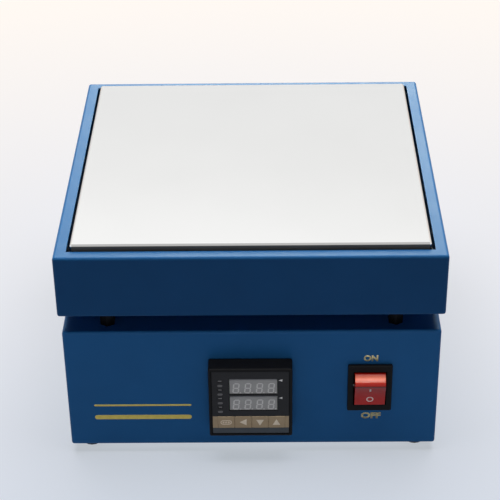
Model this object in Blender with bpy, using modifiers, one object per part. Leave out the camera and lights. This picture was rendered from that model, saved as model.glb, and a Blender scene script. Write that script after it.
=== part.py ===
"""Bench hot plate for desoldering and preheating circuit boards.

A square aluminium heating plate sits in a folded-steel head. Four columns hold the head clear of the
control case, which has a temperature controller and a rocker switch in front and a mains inlet behind.
Units are metres, +Z is up and the front faces -Y. The origin is the bottom centre of the bounding box.
"""

import math

import bmesh
import bpy
from mathutils import Matrix, Vector

# Clearances and sheet metal
GAP = 0.0003
OVERCUT = 0.001
SHEET = 0.0012
BEND_RADIUS = 0.0015
BEND_STEPS = 3
WELD = 0.000001
SMOOTH_ANGLE = 35.0

# Pan-head screws: flat top and shoulder as shares of the head's radius and height
PAN_TOP = 0.72
PAN_SHOULDER = 0.45

# Heating plate
PLATE_SIDE = 0.200
PLATE_THICKNESS = 0.020
PLATE_PROUD = 0.003
PLATE_CHAMFER = 0.0011
PLATE_MARGIN = 0.002
HEATER_RADIUS = 0.005
HEATER_COUNT = 4
HEATER_EDGE = 0.034
HEATER_HEIGHT = 0.0085
HEATER_FRONT_WALL = 0.0045
HEATER_BEAD_RADIUS = 0.0036
HEATER_BEAD_LENGTH = 0.004

# Head
HEAD_HEIGHT = 0.0389
HEAD_RIM = 0.007
HEAD_FLANGE = 0.020
FLOOR_CLEARANCE = 0.0005
POST_INSET = 0.020
POST_RADIUS = 0.006
PLATE_SCREW_RADIUS = 0.0025
PLATE_SCREW_HEAD = 0.0045
PLATE_SCREW_HEAD_HEIGHT = 0.0026
PLATE_SCREW_BITE = 0.010
BLANKET_INSET = 0.007
BLANKET_CHANNEL = 0.025
BLANKET_CLEARANCE = 0.0005
BLANKET_ROUND = 0.003
PROBE_RADIUS = 0.003
PROBE_DEPTH = 0.010
PROBE_HEX_RADIUS = 0.0055
PROBE_HEX_HEIGHT = 0.004
PROBE_SLEEVE_RADIUS = 0.0022
PROBE_SLEEVE_LENGTH = 0.004

# Columns and conduit between head and case
AIR_GAP = 0.0116
COLUMN_INSET_X = 0.027
COLUMN_INSET_Y = 0.0115
COLUMN_HEX_RADIUS = 0.0046
COLUMN_BOLT_RADIUS = 0.0017
COLUMN_BOLT_HEAD = 0.0035
COLUMN_BOLT_HEAD_HEIGHT = 0.0022
COLUMN_BOLT_TAIL = 0.0010
COLUMN_NUT_RADIUS = 0.0040
COLUMN_NUT_HEIGHT = 0.0030
CONDUIT_INSET = 0.040
CONDUIT_RADIUS = 0.008
CONDUIT_WALL = 0.0015
CONDUIT_FLANGE_RADIUS = 0.0105
CONDUIT_FLANGE_HEIGHT = 0.0015
CONDUIT_TAIL = 0.0015
CONDUIT_NUT_RADIUS = 0.0125
CONDUIT_NUT_HEIGHT = 0.004

# Case
CASE_SETBACK = 0.0015
CASE_HEIGHT = 0.0810
CASE_FLANGE = 0.022
CASE_LIFT = 0.0060
BOTTOM_MARGIN = 0.003
VENT_WIDTH = 0.003
VENT_LENGTH = 0.024
VENT_PITCH = 0.0085
VENT_COUNT = 11
VENT_RISE = 0.0025
VENT_Y = 0.018
FLOOR_VENT_LENGTH = 0.034
FLOOR_VENT_COUNT = 9
FLOOR_VENT_INSET_X = 0.0615
FLOOR_VENT_INSET_Y = 0.0475
FOOT_INSET_X = 0.011
FOOT_INSET_Y = 0.013
FOOT_RADIUS = 0.0072
FOOT_TAPER = 0.0008
FOOT_ROUND = 0.0005
FOOT_RECESS_RADIUS = 0.0042
FOOT_RECESS_DEPTH = 0.0026
FOOT_SCREW_RADIUS = 0.0017
FOOT_SCREW_HEAD = 0.0034
FOOT_SCREW_HEAD_HEIGHT = 0.0022
FOOT_NUT_RADIUS = 0.0040
FOOT_NUT_HEIGHT = 0.0030
FOOT_SCREW_TAIL = 0.0010

# Temperature controller
CONTROLLER_X = -0.0009
CONTROLLER_DROP = 0.0018
BEZEL_SIDE = 0.048
BEZEL_DEPTH = 0.011
BEZEL_ROUND = 0.0010
BEZEL_WALL = 0.0016
BODY_SIDE = 0.0444
BODY_DEPTH = 0.085
LEDGE_WIDTH = 0.0018
POCKET_DEPTH = 0.0102
FASCIA_RECESS = 0.0005
FASCIA_THICKNESS = 0.0016
BOARD_THICKNESS = 0.0014
WINDOW_X = 0.0017
WINDOW_WIDTH = 0.0278
UPPER_WINDOW_Z = 0.0114
UPPER_WINDOW_HEIGHT = 0.0112
LOWER_WINDOW_Z = -0.0005
LOWER_WINDOW_HEIGHT = 0.0108
DISPLAY_RECESS = 0.0008
KEY_COUNT = 4
KEY_ROW_MARGIN = 0.0044
KEY_PARTING = 0.0004
KEY_ROW_X = 0.0004
KEY_ROW_Z = -0.0138
KEY_TALL = 0.0082
KEY_PROUD = 0.0004
KEY_ROUND = 0.00025
KEY_SHELF = 0.0008
KEY_SHELF_THICKNESS = 0.0010
KEY_TRAVEL = 0.0005
KEY_STEM_RADIUS = 0.0015
KEY_SWITCH_SIDE = 0.0060
KEY_SWITCH_HEIGHT = 0.0034
LAMP_X = -0.0174
LAMP_TOP_Z = 0.0154
LAMP_PITCH = 0.0062
LAMP_COUNT = 4
LAMP_WIDTH = 0.0026
LAMP_TALL = 0.0014
BRACKET_WIDTH = 0.014
BRACKET_LENGTH = 0.024
BRACKET_TALL = 0.007
BRACKET_DISTANCE = 0.016
BRACKET_TAB_TALL = 0.0020
BRACKET_TAB_LENGTH = 0.004
BRACKET_SCREW_RADIUS = 0.0013
BRACKET_SCREW_HEAD = 0.0026
BRACKET_SCREW_HEAD_HEIGHT = 0.0018
TERMINAL_COUNT = 5
TERMINAL_PITCH = 0.0076
TERMINAL_X = 0.0140
TERMINAL_WELL_WIDTH = 0.0062
TERMINAL_WELL_DEPTH = 0.0060
TERMINAL_RADIUS = 0.0024
TERMINAL_HEIGHT = 0.0030

# Rocker switch
SWITCH_INSET = 0.0397
SWITCH_RISE = 0.00175
SWITCH_BEZEL_WIDTH = 0.0255
SWITCH_BEZEL_TALL = 0.0319
SWITCH_BEZEL_DEPTH = 0.0026
SWITCH_BEZEL_ROUND = 0.0007
SWITCH_BODY_WIDTH = 0.0216
SWITCH_BODY_TALL = 0.0282
SWITCH_BODY_DEPTH = 0.0190
WELL_WIDTH = 0.0192
WELL_TALL = 0.0236
WELL_DEPTH = 0.0125
ROCKER_SIDE_GAP = 0.0008
ROCKER_END_GAP = 0.0004
ROCKER_RIDGE_ANGLE = 44.0
ROCKER_SAG = 0.0009
ROCKER_UNDERSIDE = 0.0036
ROCKER_ROUND = 0.0008
ROCKER_FACE_STEPS = 8
ROCKER_THROW = 28.0
PIVOT_DEPTH = 0.0035
PIVOT_RADIUS = 0.0014
PIVOT_BITE = 0.0007
BLADE_WIDTH = 0.0048
BLADE_THICKNESS = 0.0008
BLADE_LENGTH = 0.0080
BLADE_X = 0.0055
BLADE_Z = 0.0080

# Mains inlet
INLET_INSET = 0.0475
INLET_WIDTH = 0.0304
INLET_TALL = 0.0334
INLET_ROUND = 0.0020
INLET_EAR_X = 0.0200
INLET_EAR_RADIUS = 0.0050
INLET_EAR_LEAN = 40.0
INLET_FLANGE = 0.0030
INLET_BODY_WIDTH = 0.0276
INLET_BODY_TALL = 0.0306
INLET_BODY_DEPTH = 0.0210
SOCKET_WIDTH = 0.0244
SOCKET_TALL = 0.0168
SOCKET_CHAMFER = 0.0045
SOCKET_DEPTH = 0.0165
SOCKET_Z = 0.0054
PIN_X = 0.0070
PIN_WIDTH = 0.0020
PIN_TALL = 0.0040
PIN_OFFSET = 0.0020
PIN_RECESS = 0.0030
PIN_TAIL = 0.0080
DRAWER_Z = -0.0100
DRAWER_DEPTH = 0.0180
DRAWER_FACE_MARGIN = 0.0008
DRAWER_FACE = 0.0014
DRAWER_WALL = 0.0012
DRAWER_NOTCH_WIDTH = 0.0090
DRAWER_NOTCH_TALL = 0.0022
DRAWER_NOTCH_DEPTH = 0.0008
FUSE_RADIUS = 0.0026
FUSE_LENGTH = 0.0200
FUSE_CAP = 0.0050
FUSE_CAP_RISE = 0.0002
INLET_SCREW_RADIUS = 0.0013
INLET_SCREW_HEAD = 0.0028
INLET_SCREW_HEAD_HEIGHT = 0.0017
INLET_NUT_RADIUS = 0.0030
INLET_NUT_HEIGHT = 0.0024
INLET_SCREW_TAIL = 0.0010

# Solid-state relay, terminal block and earth stud on the bottom plate
RELAY_INSET_X = 0.0475
RELAY_INSET_Y = 0.0655
RELAY_LENGTH = 0.0574
RELAY_WIDTH = 0.0448
RELAY_BASE = 0.0030
RELAY_ROUND = 0.0030
RELAY_TALL = 0.0190
RELAY_BODY_LENGTH = 0.0440
RELAY_SCREW_Y = 0.0248
RELAY_SCREW_RADIUS = 0.0017
RELAY_SCREW_HEAD = 0.0026
RELAY_SCREW_HEAD_HEIGHT = 0.0020
RELAY_SCREW_TAIL = 0.0010
RELAY_STEP_LENGTH = 0.0110
RELAY_STEP_DEPTH = 0.0070
RELAY_TERMINAL_X = 0.0115
RELAY_TERMINAL_RADIUS = 0.0034
RELAY_TERMINAL_TALL = 0.0016
BLOCK_X = 0.004
BLOCK_INSET = 0.0775
BLOCK_WIDTH = 0.032
BLOCK_LENGTH = 0.018
BLOCK_TALL = 0.016
BLOCK_ROUND = 0.001
EARTH_INSET_X = 0.0295
EARTH_INSET_Y = 0.0415
EARTH_RADIUS = 0.0020
EARTH_LENGTH = 0.0100
EARTH_NUT_RADIUS = 0.0040
EARTH_NUT_HEIGHT = 0.0030

# Wiring
LOOM_DISTANCE = 0.0046
LOOM_LEVEL = 0.0055
SLEEVE_RADIUS = 0.0012
CROSS_RUN_RADIUS = 0.0016
TRUNK_RADIUS = 0.0030
TRUNK_X = 0.0014
TRUNK_BEND = 0.012
PROBE_LEAD_RADIUS = 0.0008
PROBE_LEAD_X = -0.0046
PROBE_LEAD_LEVEL = 0.0035
LEAD_RADIUS = 0.0010
LEAD_BEND = 0.008

# Sides of head and case round the plate
HEAD_SIDE = PLATE_SIDE + 2 * (PLATE_MARGIN + HEAD_RIM)
CASE_SIDE = HEAD_SIDE - 2 * CASE_SETBACK

# Heights of the main levels above the bench
CASE_TOP = CASE_LIFT + CASE_HEIGHT
HEAD_BOTTOM = CASE_TOP + AIR_GAP
HEAD_TOP = HEAD_BOTTOM + HEAD_HEIGHT
PLATE_TOP = HEAD_TOP + PLATE_PROUD
PLATE_BOTTOM = PLATE_TOP - PLATE_THICKNESS
HEATER_Z = PLATE_BOTTOM + HEATER_HEIGHT
FLOOR_BOTTOM = HEAD_BOTTOM + SHEET + GAP
FLOOR_TOP = FLOOR_BOTTOM + SHEET
BASE_TOP = CASE_LIFT - GAP
BASE_BOTTOM = BASE_TOP - SHEET
FOOT_TALL = BASE_BOTTOM - GAP
CONDUIT_END = CASE_TOP - SHEET - GAP - CONDUIT_NUT_HEIGHT - CONDUIT_TAIL
CASE_MIDDLE = CASE_LIFT + CASE_HEIGHT / 2
CONTROLLER_Z = CASE_MIDDLE - CONTROLLER_DROP
SWITCH_Z = CASE_MIDDLE + SWITCH_RISE
INLET_Z = CASE_MIDDLE
VENT_Z = CASE_MIDDLE + VENT_RISE

# Depths of the main planes from the middle of the case
FRONT = -CASE_SIDE / 2
BACK = CASE_SIDE / 2
BEZEL_BACK = FRONT - GAP
BEZEL_FACE = BEZEL_BACK - BEZEL_DEPTH
FASCIA_FACE = BEZEL_FACE + FASCIA_RECESS
FASCIA_BACK = FASCIA_FACE + FASCIA_THICKNESS
BOARD_BACK = BEZEL_FACE + POCKET_DEPTH - GAP
BOARD_FACE = BOARD_BACK - BOARD_THICKNESS
SWITCH_FACE = FRONT - GAP - SWITCH_BEZEL_DEPTH
SWITCH_REAR = FRONT - GAP + SWITCH_BODY_DEPTH
PIVOT_Y = SWITCH_FACE + PIVOT_DEPTH
INLET_FACE = BACK + GAP + INLET_FLANGE
INLET_REAR = BACK + GAP - INLET_BODY_DEPTH
CENTRE_Y = -(BEZEL_FACE + INLET_FACE + GAP + INLET_SCREW_HEAD_HEIGHT) / 2

# Places of the pieces from the middle of the case
POST_SPREAD = PLATE_SIDE / 2 - POST_INSET
COLUMN_X = HEAD_SIDE / 2 - COLUMN_INSET_X
COLUMN_Y = HEAD_SIDE / 2 - COLUMN_INSET_Y
CONDUIT_Y = PLATE_SIDE / 2 - CONDUIT_INSET
FOOT_X = CASE_SIDE / 2 - FOOT_INSET_X
FOOT_Y = CASE_SIDE / 2 - FOOT_INSET_Y
FLOOR_VENT_X = CASE_SIDE / 2 - FLOOR_VENT_INSET_X
FLOOR_VENT_Y = FRONT + FLOOR_VENT_INSET_Y
SWITCH_X = CASE_SIDE / 2 - SWITCH_INSET
INLET_X = CASE_SIDE / 2 - INLET_INSET
RELAY_X = RELAY_INSET_X - CASE_SIDE / 2
RELAY_Y = BACK - RELAY_INSET_Y
BLOCK_Y = BACK - BLOCK_INSET
EARTH_X = CASE_SIDE / 2 - EARTH_INSET_X
EARTH_Y = BACK - EARTH_INSET_Y

# Sizes that follow from what a piece holds
HEATER_PITCH = (PLATE_SIDE - 2 * HEATER_EDGE) / (HEATER_COUNT - 1)
BLANKET_SIDE = PLATE_SIDE - 2 * BLANKET_INSET
KEY_PITCH = (BEZEL_SIDE - 2 * KEY_ROW_MARGIN) / KEY_COUNT
ROCKER_WIDTH = WELL_WIDTH - 2 * ROCKER_SIDE_GAP
ROCKER_RADIUS = WELL_TALL / 2 - ROCKER_END_GAP
FUSE_TALL = 2 * (FUSE_RADIUS + FUSE_CAP_RISE)
DRAWER_WIDTH = FUSE_LENGTH + 2 * (GAP + DRAWER_WALL)
DRAWER_TALL = FUSE_TALL + 2 * GAP + DRAWER_WALL

FINISHES = {
    "blue_steel": ((0.027, 0.175, 0.400), 0.35, 0.0),
    "zinc_steel": ((0.55, 0.56, 0.57), 0.35, 1.0),
    "black_steel": ((0.050, 0.051, 0.054), 0.40, 1.0),
    "aluminium": ((0.82, 0.82, 0.81), 0.30, 1.0),
    "stainless": ((0.60, 0.60, 0.58), 0.25, 1.0),
    "brass": ((0.70, 0.52, 0.22), 0.30, 1.0),
    "black_plastic": ((0.020, 0.021, 0.023), 0.45, 0.0),
    "dark_fascia": ((0.035, 0.035, 0.038), 0.50, 0.0),
    "bronze_key": ((0.30, 0.24, 0.17), 0.45, 0.0),
    "display_grey": ((0.30, 0.30, 0.31), 0.40, 0.0),
    "board_green": ((0.02, 0.16, 0.06), 0.45, 0.0),
    "red_rocker": ((0.55, 0.02, 0.015), 0.25, 0.0),
    "rubber": ((0.012, 0.012, 0.012), 0.80, 0.0),
    "ceramic": ((0.80, 0.78, 0.72), 0.60, 0.0),
    "fibre": ((0.12, 0.11, 0.10), 0.95, 0.0),
    "relay_cream": ((0.62, 0.58, 0.48), 0.50, 0.0),
    "glass": ((0.75, 0.80, 0.80), 0.08, 0.0),
    "white_sleeve": ((0.75, 0.73, 0.66), 0.75, 0.0),
}

AXIS_TURN = {
    "X": Matrix.Rotation(math.radians(90), 4, "Y"),
    "Y": Matrix.Rotation(math.radians(-90), 4, "X"),
    "Z": Matrix.Identity(4),
}


# Scene set-up

for old in list(bpy.data.objects):
    bpy.data.objects.remove(old)

PARTS = bpy.data.collections.new("desoldering_hot_plate")
CUTTERS = bpy.data.collections.new("cutters")
bpy.context.scene.collection.children.link(PARTS)
bpy.context.scene.collection.children.link(CUTTERS)
CUTTERS.hide_render = True

STATION = bpy.data.objects.new("station", None)
STATION.location = (0, CENTRE_Y, 0)
PARTS.objects.link(STATION)


def material_for(finish):
    """The Principled material of a finish, made once."""
    found = bpy.data.materials.get(finish)
    if found:
        return found
    colour, roughness, metallic = FINISHES[finish]
    made = bpy.data.materials.new(finish)
    made.use_nodes = True
    shader = made.node_tree.nodes["Principled BSDF"]
    shader.inputs["Base Color"].default_value = (*colour, 1.0)
    shader.inputs["Roughness"].default_value = roughness
    shader.inputs["Metallic"].default_value = metallic
    return made


# Modelling helpers

def shape(name, mesh, centre=(0, 0, 0)):
    """An object of the station. It has no finish yet, so it can become a part or a cutter."""
    obj = bpy.data.objects.new(name, mesh)
    obj.location = centre
    obj.parent = STATION
    PARTS.objects.link(obj)
    return obj


def from_bmesh(name, bm, centre=(0, 0, 0)):
    mesh = bpy.data.meshes.new(name)
    bm.to_mesh(mesh)
    bm.free()
    return shape(name, mesh, centre)


def evaluated_mesh(obj):
    bpy.context.view_layer.update()
    graph = bpy.context.evaluated_depsgraph_get()
    return bpy.data.meshes.new_from_object(obj.evaluated_get(graph))


def bake(obj):
    """Applies every modifier of a shape."""
    mesh = evaluated_mesh(obj)
    obj.modifiers.clear()
    obj.data = mesh
    return obj


def bevel(obj, width, steps=2, angle=40.0):
    """Rounds every edge of a shape that is sharper than the angle."""
    made = obj.modifiers.new("round", "BEVEL")
    made.width = width
    made.segments = steps
    made.limit_method = "ANGLE"
    made.angle_limit = math.radians(angle)
    return obj


def slab(name, low, high, rounding=0.0, steps=2):
    """A box from its lowest corner to its highest."""
    low, high = Vector(low), Vector(high)
    bm = bmesh.new()
    bmesh.ops.create_cube(bm, size=1.0)
    bmesh.ops.scale(bm, vec=high - low, verts=bm.verts)
    obj = from_bmesh(name, bm, (low + high) / 2)
    return bevel(obj, rounding, steps) if rounding else obj


def bar(name, radius, start, end, sides=16, turn=0.0):
    """A round or, with six sides, hexagonal bar between two points on a line along X, Y or Z."""
    start, end = Vector(start), Vector(end)
    run = end - start
    axis = max("XYZ", key=lambda letter: abs(run["XYZ".index(letter)]))
    bm = bmesh.new()
    bmesh.ops.create_cone(
        bm, cap_ends=True, segments=sides, radius1=radius, radius2=radius, depth=run.length,
        matrix=AXIS_TURN[axis] @ Matrix.Rotation(math.radians(turn), 4, "Z"),
    )
    return from_bmesh(name, bm, (start + end) / 2)


def turned(name, profile, centre=(0, 0, 0), sides=16):
    """A lathe shape on Z. The profile of (radius, height) starts outside and closes on the axis or itself."""
    bm = bmesh.new()
    points = [bm.verts.new((radius, 0, height)) for radius, height in profile]
    hollow = min(radius for radius, _ in profile) > 0
    for first, second in zip(points, points[1:] + (points[:1] if hollow else [])):
        bm.edges.new((first, second))
    obj = from_bmesh(name, bm, centre)
    screw = obj.modifiers.new("lathe", "SCREW")
    screw.steps = sides
    screw.render_steps = sides
    screw.use_merge_vertices = True
    screw.merge_threshold = WELD
    return bake(obj)


def reorient(obj, turn):
    """Turns a shape's mesh about its own origin."""
    obj.data.transform(turn)
    return obj


def extruded(name, outline, depth, centre=(0, 0, 0), turn=None):
    """A flat outline, drawn in XY, given a thickness on both sides of its plane. Its caps are welded."""
    curve = bpy.data.curves.new(name, "CURVE")
    curve.dimensions = "2D"
    curve.fill_mode = "BOTH"
    curve.extrude = depth / 2
    spline = curve.splines.new("POLY")
    spline.points.add(len(outline) - 1)
    spline.use_cyclic_u = True
    for point, (x, y) in zip(spline.points, outline):
        point.co = (x, y, 0, 1)
    return curve_to_mesh(name, curve, centre, turn)


def curve_to_mesh(name, curve, centre=(0, 0, 0), turn=None):
    """Makes a mesh object of a curve, with its caps welded to its sides."""
    path = bpy.data.objects.new(name + "_curve", curve)
    PARTS.objects.link(path)
    mesh = evaluated_mesh(path)
    bpy.data.objects.remove(path)
    bm = bmesh.new()
    bm.from_mesh(mesh)
    bpy.data.meshes.remove(mesh)
    bmesh.ops.remove_doubles(bm, verts=bm.verts, dist=WELD)
    if turn:
        bmesh.ops.transform(bm, matrix=turn, verts=bm.verts)
    return from_bmesh(name, bm, centre)


def gather(name, shapes):
    """Puts several shapes in one mesh, for use as a helper."""
    bm = bmesh.new()
    for obj in shapes:
        mesh = evaluated_mesh(obj)
        mesh.transform(Matrix.Translation(obj.location))
        bm.from_mesh(mesh)
        bpy.data.meshes.remove(mesh)
        bpy.data.objects.remove(obj)
    return from_bmesh(name, bm)


def combine(obj, others, operation):
    """Adds a Boolean with a helper gathered from the other shapes, which is kept among the cutters."""
    tool = gather(f"{operation.lower()}_{obj.name}", others)
    PARTS.objects.unlink(tool)
    CUTTERS.objects.link(tool)
    tool.hide_render = True
    tool.display_type = "WIRE"
    boolean = obj.modifiers.new(operation.lower(), "BOOLEAN")
    boolean.operation = operation
    boolean.object = tool
    return obj


def cut(obj, *others):
    return combine(obj, others, "DIFFERENCE")


def fuse(obj, *others):
    """Joins overlapping shapes into one body, one after another, because they may overlap each other too."""
    for other in others:
        combine(obj, [other], "UNION")
    return obj


def part(obj, finish, name=None):
    """Gives a finished shape its material, and smooth shading on its round faces."""
    obj.name = name or obj.name
    obj.data.materials.clear()
    obj.data.materials.append(material_for(finish))
    obj.data.shade_smooth()
    obj.data.set_sharp_from_angle(angle=math.radians(SMOOTH_ANGLE))
    return obj


def stadium(name, width, length, start, end, along):
    """A cutter with round ends, long on the axis called along, that runs through from start to end."""
    start, end = Vector(start), Vector(end)
    run = end - start
    radius, sides = width / 2, 10
    bm = bmesh.new()
    bmesh.ops.create_cone(bm, cap_ends=True, segments=sides, radius1=radius, radius2=radius, depth=run.length)
    bmesh.ops.rotate(bm, verts=bm.verts, matrix=Matrix.Rotation(math.pi / sides, 3, "Z"))
    for vert in bm.verts:
        vert.co.y += math.copysign((length - width) / 2, vert.co.y)
    long_axis = Vector([float(letter == along) for letter in "XYZ"])
    through = run.normalized()
    frame = Matrix((long_axis.cross(through), long_axis, through)).transposed().to_4x4()
    bmesh.ops.transform(bm, matrix=frame, verts=bm.verts)
    return from_bmesh(name, bm, (start + end) / 2)


def arc(radius, start, end, steps, centre=(0.0, 0.0)):
    """Points on a circle from one angle to another, in degrees."""
    angles = [math.radians(start + (end - start) * step / steps) for step in range(steps + 1)]
    return [(centre[0] + radius * math.cos(a), centre[1] + radius * math.sin(a)) for a in angles]


def rounded_rectangle(width, height, radius, steps=3):
    """Outline of a rectangle with round corners, anticlockwise."""
    x, y = width / 2 - radius, height / 2 - radius
    outline = []
    for corner, centre in enumerate(((x, y), (-x, y), (-x, -y), (x, -y))):
        outline += arc(radius, 90 * corner, 90 * corner + 90, steps, centre)
    return outline


def corners(x, y):
    """The four places (x, y) that mirror one another about both middle planes."""
    return [(side_x * x, side_y * y) for side_y in (-1, 1) for side_x in (-1, 1)]


def spaced(count, pitch):
    """Offsets of a row of equal steps about its middle."""
    return [(index - (count - 1) / 2) * pitch for index in range(count)]


def pan_screw(name, place, head_radius, head_height, radius, length, points="down", sides=8):
    """A pan-head screw whose shank points down, up, front or back from the middle of the head's seat."""
    profile = [
        (0, head_height),
        (head_radius * PAN_TOP, head_height),
        (head_radius, head_height * PAN_SHOULDER),
        (head_radius, 0),
        (radius, 0),
        (radius, -length),
        (0, -length),
    ]
    turns = {
        "down": Matrix.Identity(4),
        "up": Matrix.Rotation(math.pi, 4, "X"),
        "front": Matrix.Rotation(math.radians(-90), 4, "X"),
        "back": Matrix.Rotation(math.radians(90), 4, "X"),
    }
    return reorient(turned(name, profile, place, sides), turns[points])


def nut(place, radius, height):
    """A nut that starts at the place and reaches its height up, or down if the height is negative."""
    end = (place[0], place[1], place[2] + height)
    return bar("nut", radius, place, end, sides=6)


def lead(name, route, radius, steps=2):
    """A wire along a route. A corner is rounded from the middle of one stretch to the middle of the next."""
    points = [Vector(place) for place in route]
    path = [points[0]]
    for index in range(1, len(points) - 1):
        corner = points[index]
        first, last = (points[index - 1] + corner) / 2, (corner + points[index + 1]) / 2
        for step in range(1 if index > 1 else 0, steps + 1):
            t = step / steps
            path.append(first * (1 - t) ** 2 + corner * 2 * t * (1 - t) + last * t ** 2)
    path.append(points[-1])
    curve = bpy.data.curves.new(name, "CURVE")
    curve.dimensions = "3D"
    curve.bevel_depth = radius
    curve.bevel_resolution = 2
    curve.use_fill_caps = True
    spline = curve.splines.new("POLY")
    spline.points.add(len(path) - 1)
    for point, place in zip(spline.points, path):
        point.co = (*place, 1)
    return curve_to_mesh(name, curve)


def folded_shell(name, side, height, bottom, rim, flange):
    """A square box of folded sheet, open below inside its flange, and above inside its rim if it has one."""
    bm = bmesh.new()
    bmesh.ops.create_cube(bm, size=1.0)
    bmesh.ops.scale(bm, vec=(side, side, height), verts=bm.verts)
    bmesh.ops.bevel(
        bm, geom=bm.edges[:], offset=BEND_RADIUS, segments=BEND_STEPS, profile=0.5, affect="EDGES"
    )
    for direction, border in ((1, rim), (-1, flange)):
        if border:
            face = max(bm.faces, key=lambda f: f.calc_area() * (f.normal.z * direction > 0.9))
            bmesh.ops.inset_region(bm, faces=[face], thickness=border - BEND_RADIUS, use_even_offset=True)
            bmesh.ops.delete(bm, geom=[face], context="FACES_ONLY")
    obj = from_bmesh(name, bm, (0, 0, bottom + height / 2))
    solidify = obj.modifiers.new("sheet", "SOLIDIFY")
    solidify.thickness = SHEET
    solidify.offset = -1
    solidify.use_even_offset = True
    return bake(obj)


# Heating plate and head

def heating_plate():
    half = PLATE_SIDE / 2
    plate = slab("heating_plate", (-half, -half, PLATE_BOTTOM), (half, half, PLATE_TOP), PLATE_CHAMFER, 1)
    holes = []
    for x in spaced(HEATER_COUNT, HEATER_PITCH):
        front_end = (x, HEATER_FRONT_WALL - half, HEATER_Z)
        holes.append(bar("heater_bore", HEATER_RADIUS + GAP, front_end, (x, half + OVERCUT, HEATER_Z)))
    for x, y in corners(POST_SPREAD, POST_SPREAD):
        low, top = PLATE_BOTTOM - OVERCUT, PLATE_BOTTOM + PLATE_SCREW_BITE + OVERCUT
        holes.append(bar("screw_bore", PLATE_SCREW_RADIUS + GAP, (x, y, low), (x, y, top), 8))
    probe_top = PLATE_BOTTOM + PROBE_DEPTH + GAP
    holes.append(bar("probe_bore", PROBE_RADIUS + GAP, (0, 0, PLATE_BOTTOM - OVERCUT), (0, 0, probe_top)))
    part(cut(plate, *holes), "aluminium")


def cartridge_heaters():
    """Metal-sheathed heaters slid in from the rear, with ceramic beads that end flush with the plate."""
    bead = PLATE_SIDE / 2 - HEATER_BEAD_LENGTH
    length = PLATE_SIDE - HEATER_FRONT_WALL - HEATER_BEAD_LENGTH - GAP
    profile = [
        (0, HEATER_BEAD_LENGTH),
        (HEATER_BEAD_RADIUS, HEATER_BEAD_LENGTH),
        (HEATER_BEAD_RADIUS, 0),
        (HEATER_RADIUS, 0),
        (HEATER_RADIUS, -length),
        (0, -length),
    ]
    for index, x in enumerate(spaced(HEATER_COUNT, HEATER_PITCH)):
        heater = turned(f"cartridge_heater_{index + 1}", profile, (x, bead, HEATER_Z))
        part(reorient(heater, AXIS_TURN["Y"]), "stainless")


def thermocouple_probe():
    """Tip, hexagon and sleeve, screwed up into the plate, with the lead to the controller's terminals."""
    seat = PLATE_BOTTOM - GAP
    hex_bottom = seat - PROBE_HEX_HEIGHT
    hexagon = bar("thermocouple_probe", PROBE_HEX_RADIUS, (0, 0, hex_bottom), (0, 0, seat), sides=6)
    tip = bar("tip", PROBE_RADIUS, (0, 0, seat - OVERCUT), (0, 0, PLATE_BOTTOM + PROBE_DEPTH))
    sleeve_end = hex_bottom - PROBE_SLEEVE_LENGTH
    sleeve = bar("sleeve", PROBE_SLEEVE_RADIUS, (0, 0, sleeve_end), (0, 0, hex_bottom + OVERCUT), 12)
    level = FLOOR_TOP + PROBE_LEAD_LEVEL
    terminal_y = BEZEL_BACK + BODY_DEPTH - TERMINAL_WELL_DEPTH + TERMINAL_HEIGHT + GAP
    terminal = (CONTROLLER_X - TERMINAL_X, terminal_y, CONTROLLER_Z + TERMINAL_PITCH)
    wire = lead("lead", [
        (0, 0, sleeve_end + OVERCUT),
        (0, 0, level),
        (0, LEAD_BEND, level),
        (PROBE_LEAD_X, CONDUIT_Y - LEAD_BEND, level),
        (PROBE_LEAD_X, CONDUIT_Y, level),
        (PROBE_LEAD_X, CONDUIT_Y, CONDUIT_END - LEAD_BEND),
        (terminal[0], CONDUIT_Y - 4 * LEAD_BEND, terminal[2] + LEAD_BEND),
        (terminal[0], terminal_y + LEAD_BEND, terminal[2]),
        terminal,
    ], PROBE_LEAD_RADIUS, 3)
    part(fuse(hexagon, tip, sleeve, wire), "brass")


def insulation_blanket():
    half = BLANKET_SIDE / 2
    bottom, top = FLOOR_TOP + BLANKET_CLEARANCE, PLATE_BOTTOM - BLANKET_CLEARANCE
    blanket = slab("insulation_blanket", (-half, -half, bottom), (half, half, top), BLANKET_ROUND)
    channel = slab(
        "channel",
        (-BLANKET_CHANNEL / 2, -BLANKET_CHANNEL / 2, bottom - OVERCUT),
        (BLANKET_CHANNEL / 2, half + OVERCUT, top + OVERCUT),
    )
    holes = [
        bar("post_hole", POST_RADIUS + GAP, (x, y, bottom - OVERCUT), (x, y, top + OVERCUT))
        for x, y in corners(POST_SPREAD, POST_SPREAD)
    ]
    part(cut(blanket, channel, *holes), "fibre")


def plate_posts():
    """Ceramic spacers between the head's floor and the plate, bored for the long screws."""
    bottom, top = FLOOR_TOP + GAP, PLATE_BOTTOM - GAP
    bore = PLATE_SCREW_RADIUS + GAP
    profile = [(POST_RADIUS, top), (POST_RADIUS, bottom), (bore, bottom), (bore, top)]
    for index, (x, y) in enumerate(corners(POST_SPREAD, POST_SPREAD)):
        part(turned(f"plate_post_{index + 1}", profile, (x, y, 0)), "ceramic")


def plate_screws():
    """Long screws from below the head's floor, through the posts and into the plate."""
    seat = FLOOR_BOTTOM - GAP
    length = PLATE_BOTTOM + PLATE_SCREW_BITE - seat
    sizes = (PLATE_SCREW_HEAD, PLATE_SCREW_HEAD_HEIGHT, PLATE_SCREW_RADIUS)
    for index, (x, y) in enumerate(corners(POST_SPREAD, POST_SPREAD)):
        part(pan_screw(f"plate_screw_{index + 1}", (x, y, seat), *sizes, length, "up"), "stainless")


def column_holes(low, high):
    return [
        bar("column_hole", COLUMN_BOLT_RADIUS + GAP, (x, y, low), (x, y, high), 8)
        for x, y in corners(COLUMN_X, COLUMN_Y)
    ]


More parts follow.
